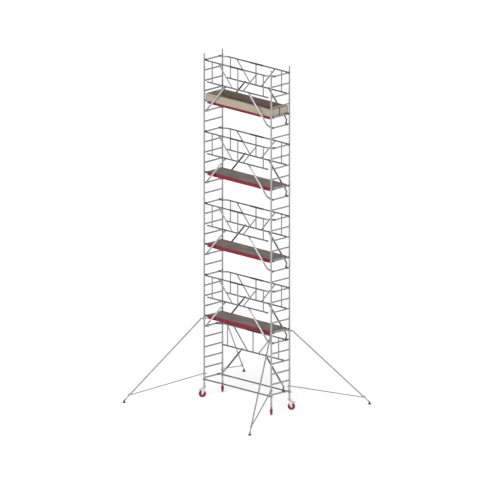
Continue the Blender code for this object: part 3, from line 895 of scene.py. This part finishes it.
def build_rails():
    meshes = guardrail_meshes()
    half_turn = spun(math.pi)
    names = [f"{side}_guardrail_{level}" for side in ("front", "back") for level in LEVELS]
    for node in (*names, "base_guardrail"):
        place = moved(z=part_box(node)[0].z + HOOK_DROP + RUNG_PITCH)
        if node.startswith("back"):
            place = place @ half_turn
        elif node.startswith("base"):
            place = place @ moved(y=-BASE_RAIL_INSET) @ half_turn
        dress(node, "tower", ("tubes", "fittings", "painted_light_strips", "latches"), meshes, place)
    meshes = brace_meshes()
    for node, turn in (("front_base_brace", Matrix()), ("back_base_brace", half_turn)):
        low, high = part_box(node)
        place = moved(z=(low.z + high.z) / 2) @ turn
        dress(node, "tower", ("tube", "hooks", "locks"), meshes, place)


# ---------------------------------------------------------------- platforms


def beam_outline():
    """The red side beam's section in (y, z), for the +Y side: web, top lip, deck ledge, flange."""
    web = DECK_Y - 0.0042
    return [
        (0.266, BEAM_BOTTOM), (0.2955, BEAM_BOTTOM), (0.2985, BEAM_BOTTOM + 0.0022),
        (0.2992, BEAM_BOTTOM + 0.0075), (0.2962, BEAM_BOTTOM + 0.0115),
        (0.295, BEAM_BOTTOM + 0.015), (0.295, -0.013), (0.2962, -0.0095), (0.2995, -0.0065),
        (DECK_Y, -0.002), (DECK_Y, 0.031), (0.2992, 0.0352), (0.297, BEAM_TOP), (0.2815, BEAM_TOP),
        (0.2805, BEAM_TOP - 0.0008), (0.281, DECK_TOP + PLAY), (web, DECK_TOP + PLAY),
        (web, DECK_BOTTOM - PLAY), (0.266, DECK_BOTTOM - PLAY), (0.266, DECK_BOTTOM - 0.0032),
        (web, DECK_BOTTOM - 0.0032), (0.2915, -0.006), (0.2915, BEAM_BOTTOM + 0.0042),
        (0.27, BEAM_BOTTOM + 0.0042), (0.27, BEAM_BOTTOM + 0.012), (0.266, BEAM_BOTTOM + 0.012),
    ]


def platform_meshes():
    """A platform with its rungs at z = 0: red beams, deck, aluminium joists, hooks, steel parts."""
    beams, deck, joists, ends, dark, steel = (Shape() for _ in range(6))
    section = beam_outline()
    opposite = [(-y, z) for y, z in reversed(section)]
    for outline in (section, opposite):
        eased = inset(outline, 0.0004)
        rings = [[(-DECK_X, y, z) for y, z in eased]]
        for x in (-DECK_X + 0.0004, DECK_X - 0.0004):
            rings.append([(x, y, z) for y, z in outline])
        rings.append([(DECK_X, y, z) for y, z in eased])
        beams.loft(rings, boxed=True)
    edge_x = DECK_X - 0.002
    between = DECK_Y - BEAM_WALL
    hole = ((HATCH_X[0], -HATCH_Y), (HATCH_X[1], HATCH_Y))
    deck.window(((-edge_x, -between), (edge_x, between)), hole, DECK_BOTTOM, DECK_TOP)
    for x in (-0.8, -0.2, HATCH_X[0] - 0.028, HATCH_X[1] - 0.012):
        joists.block((x, -between, -0.012), (x + JOIST_WIDTH, between, DECK_BOTTOM - PLAY), 0.003)
    for x in (-DECK_X + 0.001, DECK_X - 0.001 - JOIST_WIDTH):
        ends.block((x, -between, -0.035), (x + JOIST_WIDTH, between, DECK_BOTTOM - PLAY), 0.004)
    for side in (-1, 1):
        inner = (HATCH_X[0] - 0.01, side * (HATCH_Y - 0.012), -0.006)
        joists.block(inner, (HATCH_X[1] + 0.01, side * (HATCH_Y + 0.02), DECK_BOTTOM - PLAY), 0.002)
        for end in (-1, 1):
            y = side * PLATFORM_HOOK_Y
            hook(dark, steel, end, y, 0, 0.028, 0.085)
            arm = (end * 1.1, y - 0.011, -0.03)
            dark.at().block(arm, (end * edge_x, y + 0.011, 0.0185), 0.002)
            for z in (-0.04, -0.022):
                bolt = (end * 1.165, side * (DECK_Y - 0.0052), z)
                steel.stud(bolt, (0, side, 0), 0.006, 0.003)
        for step in range(9):
            x = -1.08 + 0.27 * step
            steel.stud((x, side * (DECK_Y - 0.0008), 0.012), (0, side, 0), 0.0045, 0.0014, 12)
    for x in (-1.169, -0.78, -0.18, 0.405, 1.098, 1.168):
        for y in (-0.255, -0.09, 0.09, 0.255):
            steel.at(moved(x, y, DECK_TOP - PLAY)).dome(0.005, 0.0008, 12)
    middle = sum(HATCH_X) / 2
    for x in (middle - HINGE_X, middle + HINGE_X):
        hinge_leaf(steel, x, HATCH_Y, DECK_TOP, 0.032, 0.018, (-0.03, -0.006, 0.018))
    return (
        beams.mesh("platform_beams", RED_COAT), deck.mesh("platform_deck", DECK_FILM),
        joists.mesh("platform_joists", ALUMINIUM), ends.mesh("platform_ends", BRIGHT_ALUMINIUM),
        dark.mesh("platform_hooks", DARK_NYLON), steel.mesh("platform_fixings", ZINC),
    )


def hinge_leaf(steel, x, y, z, reach, rivet, knuckles):
    """One leaf of a hinge whose pin is at (y, z), with its rivets and its share of the knuckles."""
    steel.at().block((x - 0.03, y + math.copysign(0.002, reach), z), (x + 0.03, y + reach, z + 0.0016))
    for start in knuckles:
        steel.pipe([(x + start, y, z), (x + start + 0.012, y, z)], 0.0042, sides=16)
    for offset in (-0.018, 0.018):
        steel.at(moved(x + offset, y + rivet, z + 0.0014)).dome(0.004, 0.001, 12)


def hatch_meshes():
    """A trapdoor with its hinge line at the origin: board, hinge leaves and a sunk ring pull."""
    board, steel, pull = (Shape() for _ in range(3))
    length = HATCH_X[1] - HATCH_X[0] - 2 * HATCH_PLAY
    depth = 2 * HATCH_Y - 2 * HATCH_PLAY
    board.at(moved(y=-HATCH_Y))
    board.prism(rounded_box(length, depth, 0.006), -HATCH_THICKNESS, 0, 0.0008)
    for x in (-HINGE_X, HINGE_X):
        hinge_leaf(steel, x, 0, 0, -0.052, -0.034, (-0.018, 0.006))
    pull_y = -2 * HATCH_Y + 0.07
    cup = [
        (0.004, -0.0085), (0.024, -0.0085), (0.027, -0.0005), (0.033, 0.0002), (0.0345, 0.001),
        (0.033, 0.0018), (0.0265, 0.0016), (0.0225, -0.006), (0.004, -0.0065),
    ]
    pull.at(moved(y=pull_y)).lathe(cup, closed=True)
    ring = [(x, y + pull_y, 0.0008) for x, y in arc(0, 0, 0.0195, -60, 240, 24)]
    steel.at().pipe(ring, 0.002, sides=10)
    return (
        board.mesh("hatch_board", DECK_FILM), steel.mesh("hatch_hinges", ZINC),
        pull.mesh("hatch_pull", DARK_NYLON),
    )


def build_platforms():
    meshes = platform_meshes()
    hatches = hatch_meshes()
    for level in LEVELS:
        node = f"platform_{level}"
        rung = moved(z=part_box(node)[0].z - BEAM_BOTTOM)
        dress(node, "tower", ("beams", "deck", "joists", "ends", "hooks", "fixings"), meshes, rung)
        node = f"hatch_{level}"
        low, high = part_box(node)
        hinge = moved((low.x + high.x) / 2, HATCH_Y, high.z)
        dress(node, node, ("board", "hinges", "pull"), hatches, hinge)


# ---------------------------------------------------------------- toe boards


def board_mesh(name, length, thickness, height):
    """A board along X standing on Z = 0."""
    shape = Shape().at(upright_plane())
    outline = [(x, y + height / 2) for x, y in rounded_box(length, height, 0.004, 3)]
    shape.prism(outline, -thickness / 2, thickness / 2, 0.0012)
    return shape.mesh(name, PALE_BOARD)



def build_boards():
    """The four planks, and on the long ones' inner faces a brown sheet of painted shade above a dark
    strip of painted shadow at the foot.
    """
    shade_lining, foot_shadow = (Shape() for _ in range(2))
    for name in ("front", "back", "left", "right"):
        node = f"{name}_toe_board"
        low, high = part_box(node)
        centre = (low + high) / 2
        size = high - low
        place = moved(centre.x, centre.y, low.z)
        if name in ("left", "right"):
            mesh = board_mesh(node, size.y, size.x, size.z)
            place = place @ spun(math.pi / 2)
        else:
            mesh = board_mesh(node, size.x, size.y, size.z)
            face = place @ moved(y=math.copysign(size.y / 2 - PLAY, -centre.y))
            half = size.x / 2 - 0.002
            # A dark strip at the board's foot, where it meets the deck: painted shadow.
            foot_shadow.at(face).block((-half, -0.001, 0.002), (half, 0.001, FOOT_SHADOW_TOP))
            # A brown sheet over the inner face above the foot strip: painted shade.
            shade_lining.at(face).block((-half, -0.0008, FOOT_SHADOW_TOP), (half, 0.0008, size.z - 0.004))
        dress(node, "tower", ("plank",), (mesh,), place)
    piece("toe_board_painted_shade", shade_lining.mesh("painted_shade_sheets", INNER_SHADE_FILM), "tower")
    piece("toe_board_painted_shadows", foot_shadow.mesh("bands", FOOT_SHADOW_FILM), "tower")


def build_board_fittings():
    """The steel plates in the boards' corners and the dark straps over the end boards."""
    steel, dark = (Shape() for _ in range(2))
    for name, end in (("left", -1), ("right", 1)):
        low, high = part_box(f"{name}_toe_board")
        inner, outer = (high.x, low.x) if end < 0 else (low.x, high.x)
        bottom, top = low.z, high.z
        for side in (-1, 1):
            y = high.y * side
            for reach_x, reach_y in ((0.04, 0.0022), (0.0022, 0.04)):
                foot = (inner - end * reach_x, y - side * reach_y, bottom + 0.02)
                steel.at().block(foot, (inner, y, top - 0.012))
            for rise in (0.05, 0.105):
                bolt = (inner - end * 0.022, side * (high.y + 0.0215), bottom + rise)
                steel.stud(bolt, (0, side, 0), 0.0065, 0.0016)
                button = (outer - end * 0.0003, y - side * 0.022, bottom + rise)
                steel.stud(button, (end, 0, 0), 0.0065, 0.0026)
        for near, far, foot in (
            (outer - end * 0.0005, outer + end * 0.0035, bottom + 0.001),
            (inner - end * 0.0035, outer, top + 0.0002),
            (inner - end * 0.0035, inner + end * 0.0005, top - 0.035),
        ):
            dark.at().block((near, -0.018, foot), (far, 0.018, top + 0.003))
        for rise in (0.04, 0.11):
            bolt = (outer + end * 0.0032, 0, bottom + rise)
            steel.stud(bolt, (end, 0, 0), 0.006, 0.0028)
    piece("toe_board_corners", steel.mesh("corners", ZINC), "tower")
    piece("toe_board_straps", dark.mesh("straps", DARK_NYLON), "tower")


# ---------------------------------------------------------------- legs and castors


def thread(shape, radius, bottom, top, pitch, depth):
    """A trapezoidal screw thread about Z."""
    sides = 24
    rings = []
    steps = round((top - bottom) / pitch * 5)
    for step in range(steps + 1):
        z = bottom + (top - bottom) * step / steps
        ring = []
        for side in range(sides):
            angle = math.tau * side / sides
            phase = (z / pitch - angle / math.tau) % 1
            cut = min(max(abs(phase - 0.5) * 5 - 0.75, 0), 1)
            reach = radius - depth * cut
            ring.append((reach * math.cos(angle), reach * math.sin(angle), z))
        rings.append(ring)
    shape.loft(rings)


def leg_meshes():
    """An adjustable leg on its axis, and the wing nut that carries the upright on it."""
    leg = Shape()
    thread(leg, radius=0.019, bottom=0.272, top=0.584, pitch=0.008, depth=0.0022)
    leg.lathe([(0.015, 0.583), (0.0166, 0.584), (0.0166, 0.594), (0.014, 0.6)])
    leg.lathe(
        [
            (0.011, 0.2516), (0.0285, 0.2516), (0.03, 0.253), (0.03, 0.262), (0.0285, 0.2645),
            (0.024, 0.268), (0.0225, 0.274), (0.018, 0.2748), (0.011, 0.274),
        ],
        closed=True,
    )
    nut = Shape()
    nut.lathe(
        [
            (0.0194, 0.2772), (0.029, 0.2772), (0.0305, 0.279), (0.0305, 0.29), (0.0265, 0.296),
            (0.026, 0.2994), (0.0194, 0.2994),
        ],
        closed=True,
    )
    wing = [
        (0.026, 0.2785), (0.04, 0.279), *arc(0.0585, 0.2855, 0.0065, -70, 80, 6), (0.048, 0.3),
        (0.036, 0.3075), (0.0285, 0.306), (0.0262, 0.295),
    ]
    for turn in (0, math.pi):
        nut.at(spun(turn) @ upright_plane()).prism(wing, -0.006, 0.006, 0.002)
    return leg.mesh("leg", ZINC), nut.mesh("wing_nut", ZINC)


def fork_mesh(trail, axle_z):
    """A castor fork: ball race, crown, kingpin, V-shaped cheeks, axle bolt and nut."""
    shape = Shape()
    shape.lathe(
        [
            (0.012, 0.2362), (0.03, 0.2362), (0.0345, 0.2385), (0.036, 0.241), (0.036, 0.2432),
            (0.0345, 0.244), (0.0345, 0.2452), (0.036, 0.246), (0.036, 0.248), (0.0335, 0.2499),
            (0.012, 0.2499),
        ],
        closed=True,
    )
    shape.lathe([(0.01, 0.232), (0.01, 0.296), (0.0088, 0.3)], 20)
    shape.hexagon(0.016, 0.2262, 0.2362)
    shape.block((-0.0285, -0.04, 0.2382), (0.03, 0.04, 0.2425), 0.001)
    cheek = [
        (-0.03, 0.244), (-0.019, 0.192), (0.02, 0.112), *arc(trail, axle_z, 0.0255, 200, 372, 14),
        (0.072, 0.196), (0.062, 0.244),
    ]
    rib = [
        (-0.02, 0.232), (-0.01, 0.194), (0.029, 0.129), (0.066, 0.129), (0.063, 0.194),
        (0.054, 0.232),
    ]
    for side in (-1, 1):
        shape.at(upright_plane()).plate(cheek, side, 0.038, 0.042, 0.0009)
        shape.plate(rib, side, 0.0415, 0.0432, 0.0008)
        shape.at(aimed((trail, side * 0.042, axle_z), (0, side, 0)))
        washer = [(0.0065, 0.0), (0.015, 0.0), (0.015, 0.0014), (0.0065, 0.0016)]
        shape.lathe(washer, 24, closed=True)
        shape.hexagon(0.01, 0.0012, 0.0062 if side < 0 else 0.0056)
        shape.at(aimed((PEDAL_PIN[0], side * 0.0418, PEDAL_PIN[1]), (0, side, 0)))
        shape.lathe([(0.0048, 0.0), (0.008, 0.0), (0.0076, 0.0016), (0.0048, 0.0018)], 20, True)
    shape.at().pipe([(trail, -0.048, axle_z), (trail, 0.048, axle_z)], 0.006, sides=20)
    return shape.mesh("castor_fork", PALE_COAT)


def wheel_meshes(radius):
    """A castor wheel about Z: polyurethane tread, spoked nylon rim and ball bearings."""
    tread = Shape()
    inner = radius - 0.021
    half = [
        (radius, 0.0), (radius, 0.0045), (radius - 0.0012, 0.0052), (radius - 0.0012, 0.0064),
        (radius - 0.0001, 0.0071), (radius - 0.0006, 0.013), (radius - 0.0022, 0.018),
        (radius - 0.005, 0.022), (radius - 0.009, 0.0243), (radius - 0.014, 0.0248),
        (inner, 0.0235),
    ]
    tread.lathe(mirrored(half)[:-1], WHEEL_SIDES, closed=True)
    rim = Shape()
    half = [
        (inner + 0.0015, 0.0225), (inner - 0.004, 0.0236), (inner - 0.0065, 0.0225),
        (inner - 0.0085, 0.0215), (inner - 0.014, 0.0268), (0.036, 0.033), (0.032, 0.035),
        (0.027, 0.0358), (0.0175, 0.0358),
    ]
    rim.lathe(mirrored(half), WHEEL_SIDES, closed=True)
    spokes = 8
    for index in range(spokes):
        for side in (-1, 1):
            turn = spun(math.tau * index / spokes)
            lean = spun(side * math.radians(12), "Y")
            rib = turn @ moved(0.05, 0, side * 0.03) @ lean
            rim.at(rib).block((-0.014, -0.003, -0.0022), (0.014, 0.003, 0.0022), 0.0012)
    bearing = Shape()
    for side in (-1, 1):
        bearing.at(spun(0 if side > 0 else math.pi, "X"))
        bearing.lathe(
            [
                (0.0088, 0.024), (0.0178, 0.024), (0.0178, 0.035), (0.015, 0.035), (0.0145, 0.034),
                (0.0118, 0.034), (0.0112, 0.0352), (0.0088, 0.0352),
            ],
            closed=True,
        )
    return (
        tread.mesh("wheel_tread", POLYURETHANE), rim.mesh("wheel_rim", CRIMSON_NYLON),
        bearing.mesh("wheel_bearings", ZINC),
    )


def pedal_meshes():
    """A brake pedal on its pin at the origin: cranked lever with a ribbed toe pad."""
    pedal = Shape()
    lever = [
        (0.0, -0.004), (0.052, -0.003), (0.09, -0.0215), (0.1165, -0.0335), (0.1195, -0.029),
        (0.105, -0.0165), (0.058, 0.0062), (0.01, 0.0075), (0.0, 0.0065),
    ]
    pedal.at(upright_plane()).prism(lever, -0.0235, 0.0235, 0.0012)
    slope = (Vector((0.1195, -0.029)) - Vector((0.058, 0.0062))).normalized()
    for step in range(6):
        spot = Vector((0.064, 0.0036)) + slope * 0.0085 * step
        pedal.at(moved(spot.x, 0, spot.y))
        pedal.pipe([(0, -0.021, 0), (0, 0.021, 0)], 0.0019, sides=10)
    pin = Shape()
    half = [(0.0036, -0.046), (0.0045, -0.0452), (0.0045, -0.027), (0.008, -0.0268)]
    pin.at(upright_plane()).lathe(mirrored(half), 20)
    return pedal.mesh("brake_pedal", GREY_COAT), pin.mesh("brake_pin", ZINC)


def build_castors():
    leg, nut = leg_meshes()
    low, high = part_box("front_left_wheel")
    axle_z = (low.z + high.z) / 2
    trail = ((low + high) / 2 - Vector((-END_X, -SIDE_Y, axle_z))).length
    fork = fork_mesh(trail, axle_z)
    wheel = wheel_meshes(high.z - axle_z)
    pedal, pin = pedal_meshes()
    for corner, (end, side) in CORNERS.items():
        axis = moved(end * END_X, side * SIDE_Y) @ spun(math.atan2(side, end))
        node = f"{corner}_leg"
        piece(f"{corner}_leg_spindle", leg, node, axis, [node])
        piece(f"{corner}_wing_nut", nut, "tower", axis)
        piece(f"{corner}_fork", fork, f"{corner}_castor", axis, [f"{corner}_castor_fork"])
        node = f"{corner}_wheel"
        hub = axis @ moved(trail, 0, axle_z) @ spun(math.pi / 2, "X")
        dress(node, node, ("tread", "rim", "bearings"), wheel, hub)
        node = f"{corner}_brake_pedal"
        pivot = axis @ moved(PEDAL_PIN[0], 0, PEDAL_PIN[1])
        piece(f"{corner}_brake_lever", pedal, node, pivot, [node])
        piece(f"{corner}_brake_pin", pin, node, pivot)


# ---------------------------------------------------------------- stabilisers


def clamp(dark, steel, z):
    """A hinged clamp round the upright's axis, with its hand knob on the far side."""
    half = [
        (UPRIGHT_R + 0.0026, -0.03), (0.0335, -0.03), (0.036, -0.027), (0.036, -0.013),
        (0.0345, -0.011),
    ]
    steel.at(moved(z=z)).lathe(mirrored(half), 36, closed=True)
    dark.at(moved(z=z))
    for side in (-1, 1):
        dark.block((-0.052, side * 0.0022, -0.016), (-0.033, side * 0.009, 0.016), 0.0015)
    steel.pipe([(-0.044, -0.015, 0), (-0.044, 0.02, 0)], 0.0036, sides=14)
    dark.at(aimed((-0.044, 0.0135, z), (0, 1, 0)))
    knob = []
    for step in range(30):
        angle = math.tau * step / 30
        reach = 0.0125 + 0.0022 * math.cos(5 * angle)
        knob.append((reach * math.cos(angle), reach * math.sin(angle)))
    dark.prism(knob, 0.0, 0.013, 0.0025)
    steel.at(aimed((-0.044, -0.0092, z), (0, -1, 0))).hexagon(0.0075, 0.0, 0.005)


def stabiliser_meshes():
    """A stabiliser round its upright's axis: tubes, clamps with the coupler, and steel fixings."""
    tubes, dark, steel = (Shape() for _ in range(3))
    end = LEG_FOOT - LEG_WAY * EXPOSED_LEG
    clamp(dark, steel, UPPER_CLAMP_Z)
    clamp(dark, steel, LOWER_CLAMP_Z)
    tubes.pipe([LEG_START - LEG_WAY * 0.018, end], OUTER_LEG_R, 0.003)
    dark.at(aimed((0.03, 0, UPPER_CLAMP_Z), (1, 0, 0)))
    dark.lathe([(0.021, 0.0), (0.022, 0.002), (0.022, 0.034), (0.02, 0.036)])
    ear = [(-0.024, -0.016), (0.002, -0.018), *arc(0.016, 0, 0.018, -90, 90, 10), (-0.024, 0.016)]
    for side in (-1, 1):
        steel.at(upright_plane(0.078, 0, UPPER_CLAMP_Z)).plate(ear, side, 0.0202, 0.025, 0.0008)
        head = aimed((0.094, side * 0.0246, UPPER_CLAMP_Z), (0, side, 0))
        steel.at(head).hexagon(0.0085, 0.0, 0.0055)
    steel.at(aimed(end - LEG_WAY * 0.09, LEG_WAY))
    coupler = [(0.0204, 0.0), (0.025, 0.0), (0.0268, 0.002)]
    for ring in range(5):
        z = 0.01 + 0.0085 * ring
        coupler += [(0.0268, z), (0.0258, z + 0.0012), (0.0258, z + 0.0044), (0.0268, z + 0.0056)]
    coupler += [
        (0.0268, 0.084), (0.024, 0.0885), (0.0185, 0.094), (0.016, 0.094), (0.0162, 0.086),
        (0.0204, 0.084),
    ]
    steel.lathe(coupler, 36, closed=True)
    lever = [
        (-0.008, 0.0), (0.03, 0.0), (0.06, 0.0035), (0.06, 0.0075), (0.03, 0.006), (0.0, 0.01),
        (-0.008, 0.008),
    ]
    turn = Matrix((LEG_WAY, LEG_SIDE, LEG_WAY.cross(LEG_SIDE))).transposed().to_4x4()
    spot = end - LEG_WAY * 0.078 + LEG_SIDE * 0.0262
    dark.at(Matrix.Translation(spot) @ turn).prism(lever, -0.008, 0.008, 0.0012)
    joint = end - LEG_WAY * 0.045
    knuckle = Vector((0.052, 0, LOWER_CLAMP_Z))
    way = (joint - knuckle).normalized()
    tubes.pipe([knuckle + way * 0.012, joint - way * 0.038], LOWER_STRUT_R, 0.002, 24)
    outline = arc(-0.006, 0, 0.0115, 90, 270, 8)
    outline += [(0.03, -0.0085), (0.036, -0.004), (0.036, 0.004), (0.03, 0.0085)]
    for place, direction in ((knuckle, way), (joint - way * 0.03, -way)):
        turn = Vector((1, 0, 0)).rotation_difference(direction).to_matrix().to_4x4()
        plane = Matrix.Translation(place) @ turn @ upright_plane()
        for side in (-1, 1):
            out = Vector((0, side * 0.0179, 0))
            steel.at(plane).plate(outline, side, 0.0153, 0.0181, 0.0006)
            steel.at(aimed(place - direction * 0.006 + out, out)).hexagon(0.0065, 0.0, 0.0042)
            steel.stud(place + direction * 0.024 + out, out, 0.0045, 0.002)
    ear_low = (0.034, -0.0145, LOWER_CLAMP_Z - 0.013)
    dark.at().block(ear_low, (0.056, 0.0145, LOWER_CLAMP_Z + 0.013), 0.002)
    tip = joint - way * 0.024
    dark.pipe([tip - way * 0.016, joint - way * 0.012], 0.0128, sides=20)
    return (
        tubes.mesh("stabiliser_tubes", ALUMINIUM), dark.mesh("stabiliser_clamps", DARK_NYLON),
        steel.mesh("stabiliser_fixings", ZINC),
    )


def foot_meshes():
    """The telescopic inner leg with its snap buttons, the rubber foot and the collar above it."""
    inner = Shape()
    inner.pipe([-LEG_WAY * INNER_LEG_LENGTH, LEG_WAY * 0.004], INNER_LEG_R, 0.0025)
    for step in range(9):
        spot = -LEG_WAY * (0.1 + 0.1 * step) + LEG_SIDE * 0.0152
        inner.stud(spot, LEG_SIDE, 0.0034, 0.0007, 12)
    rubber_foot = Shape()
    rubber_foot.at(moved(z=-LEG_FOOT.z))
    rubber_foot.lathe(
        [
            (0.006, 0.0012), (0.034, 0.0012), (0.036, 0.0), (0.0425, 0.0), (0.0445, 0.002),
            (FOOT_PAD_R, 0.006), (0.0435, 0.01), (0.0445, 0.0125), (0.042, 0.02), (0.034, 0.027),
            (0.025, 0.031), (0.0215, 0.036), (0.0205, 0.044), (0.021, 0.05), (0.02, 0.056),
            (0.0165, 0.06), (0.004, 0.0615),
        ],
        40,
    )
    collar = Shape()
    collar.at(aimed(-LEG_WAY * 0.052, LEG_WAY)).lathe(
        [
            (0.0158, 0.0), (0.018, 0.0004), (0.0186, 0.006), (0.0178, 0.01), (0.0186, 0.014),
            (0.019, 0.042), (0.0158, 0.044),
        ],
        28, closed=True,
    )
    return (
        inner.mesh("inner_leg", ALUMINIUM), rubber_foot.mesh("rubber_foot", RUBBER),
        collar.mesh("foot_collar", DARK_NYLON),
    )


def build_stabilisers():
    meshes = stabiliser_meshes()
    feet = foot_meshes()
    for corner, (end, side) in CORNERS.items():
        upright = Vector((end * END_X, side * SIDE_Y, 0))
        low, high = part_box(f"{corner}_stabiliser_foot")
        pad_x = (high.x if end > 0 else low.x) - end * FOOT_PAD_R
        pad_y = (high.y if side > 0 else low.y) - side * FOOT_PAD_R
        out = Vector((pad_x, pad_y, 0)) - upright
        place = Matrix.Translation(upright) @ spun(math.atan2(out.y, out.x))
        node = f"{corner}_stabiliser"
        dress(node, node, ("tubes", "clamps", "fixings"), meshes, place)
        tip = place @ Matrix.Translation(LEG_FOOT)
        level_tip = Matrix.Translation(tip.translation)
        foot = f"{corner}_stabiliser_foot"
        for part, mesh, spot, nodes in zip(
            ("inner_leg", "rubber_foot", "foot_collar"), feet, (tip, level_tip, tip), ([foot], (), ())
        ):
            piece(f"{node}_{part}", mesh, foot, spot, nodes)


# ---------------------------------------------------------------- stage


def build_floor():
    """A plain pale floor."""
    mesh = bpy.data.meshes.new("floor")
    shape = bmesh.new()
    bmesh.ops.create_grid(shape, x_segments=1, y_segments=1, size=150)
    shape.to_mesh(mesh)
    shape.free()
    floor = bpy.data.objects.new("floor", mesh)
    bpy.context.scene.collection.objects.link(floor)
    floor.location = (0, 0, -0.0005)
    finish = Finish("floor", (0.9, 0.9, 0.9), 0.9, specular=0.0)
    finish.shader.inputs["Emission Color"].default_value = (1, 1, 1, 1)
    finish.shader.inputs["Emission Strength"].default_value = 0.42
    mesh.materials.append(finish.material)


def build_light():
    """A white studio: even light from all round, weaker from the left, and a soft key above."""
    world = bpy.data.worlds.new("studio")
    bpy.context.scene.world = world
    world.use_nodes = True
    tree = world.node_tree
    background = tree.nodes["Background"]
    direction = add_node(tree, "ShaderNodeTexCoord").outputs["Generated"]
    parts = add_node(tree, "ShaderNodeSeparateXYZ", {0: direction})
    links = {
        "Value": parts.outputs["X"], "From Min": -0.9, "From Max": 0.3, "To Min": 0.22,
        "To Max": 0.72,
    }
    fade = add_node(tree, "ShaderNodeMapRange", links, interpolation_type="SMOOTHSTEP")
    ray = add_node(tree, "ShaderNodeLightPath").outputs["Is Camera Ray"]
    links = {0: fade.outputs["Result"], 1: ray}
    seen = add_node(tree, "ShaderNodeMath", links, operation="MAXIMUM")
    tree.links.new(seen.outputs[0], background.inputs["Strength"])
    background.inputs["Color"].default_value = (1, 1, 1, 1)
    key = bpy.data.lights.new("key", "SUN")
    key.energy = 0.9
    key.angle = math.radians(35)
    lamp = bpy.data.objects.new("key", key)
    lamp.rotation_euler = Vector((0.45, -0.75, 1.1)).to_track_quat("Z", "Y").to_euler()
    bpy.context.scene.collection.objects.link(lamp)


def build_camera():
    """A parallel view from the right of the front, slightly from above."""
    azimuth = math.radians(45)
    elevation = math.radians(15.07)
    right = Vector((math.cos(azimuth), math.sin(azimuth), 0))
    back = right.cross(UP) * math.cos(elevation) + UP * math.sin(elevation)
    data = bpy.data.cameras.new("camera")
    data.type = "ORTHO"
    data.ortho_scale = 13.19
    data.clip_end = 200
    camera = bpy.data.objects.new("camera", data)
    camera.rotation_euler = back.to_track_quat("Z", "Y").to_euler()
    camera.location = right * 0.082 + back.cross(right) * 4.047 + back * 40
    bpy.context.scene.collection.objects.link(camera)
    bpy.context.scene.camera = camera


build_frames()
build_rails()
build_platforms()
build_boards()
build_board_fittings()
build_castors()
build_stabilisers()
build_floor()
build_light()
build_camera()
bpy.context.scene.view_settings.view_transform = "Standard"
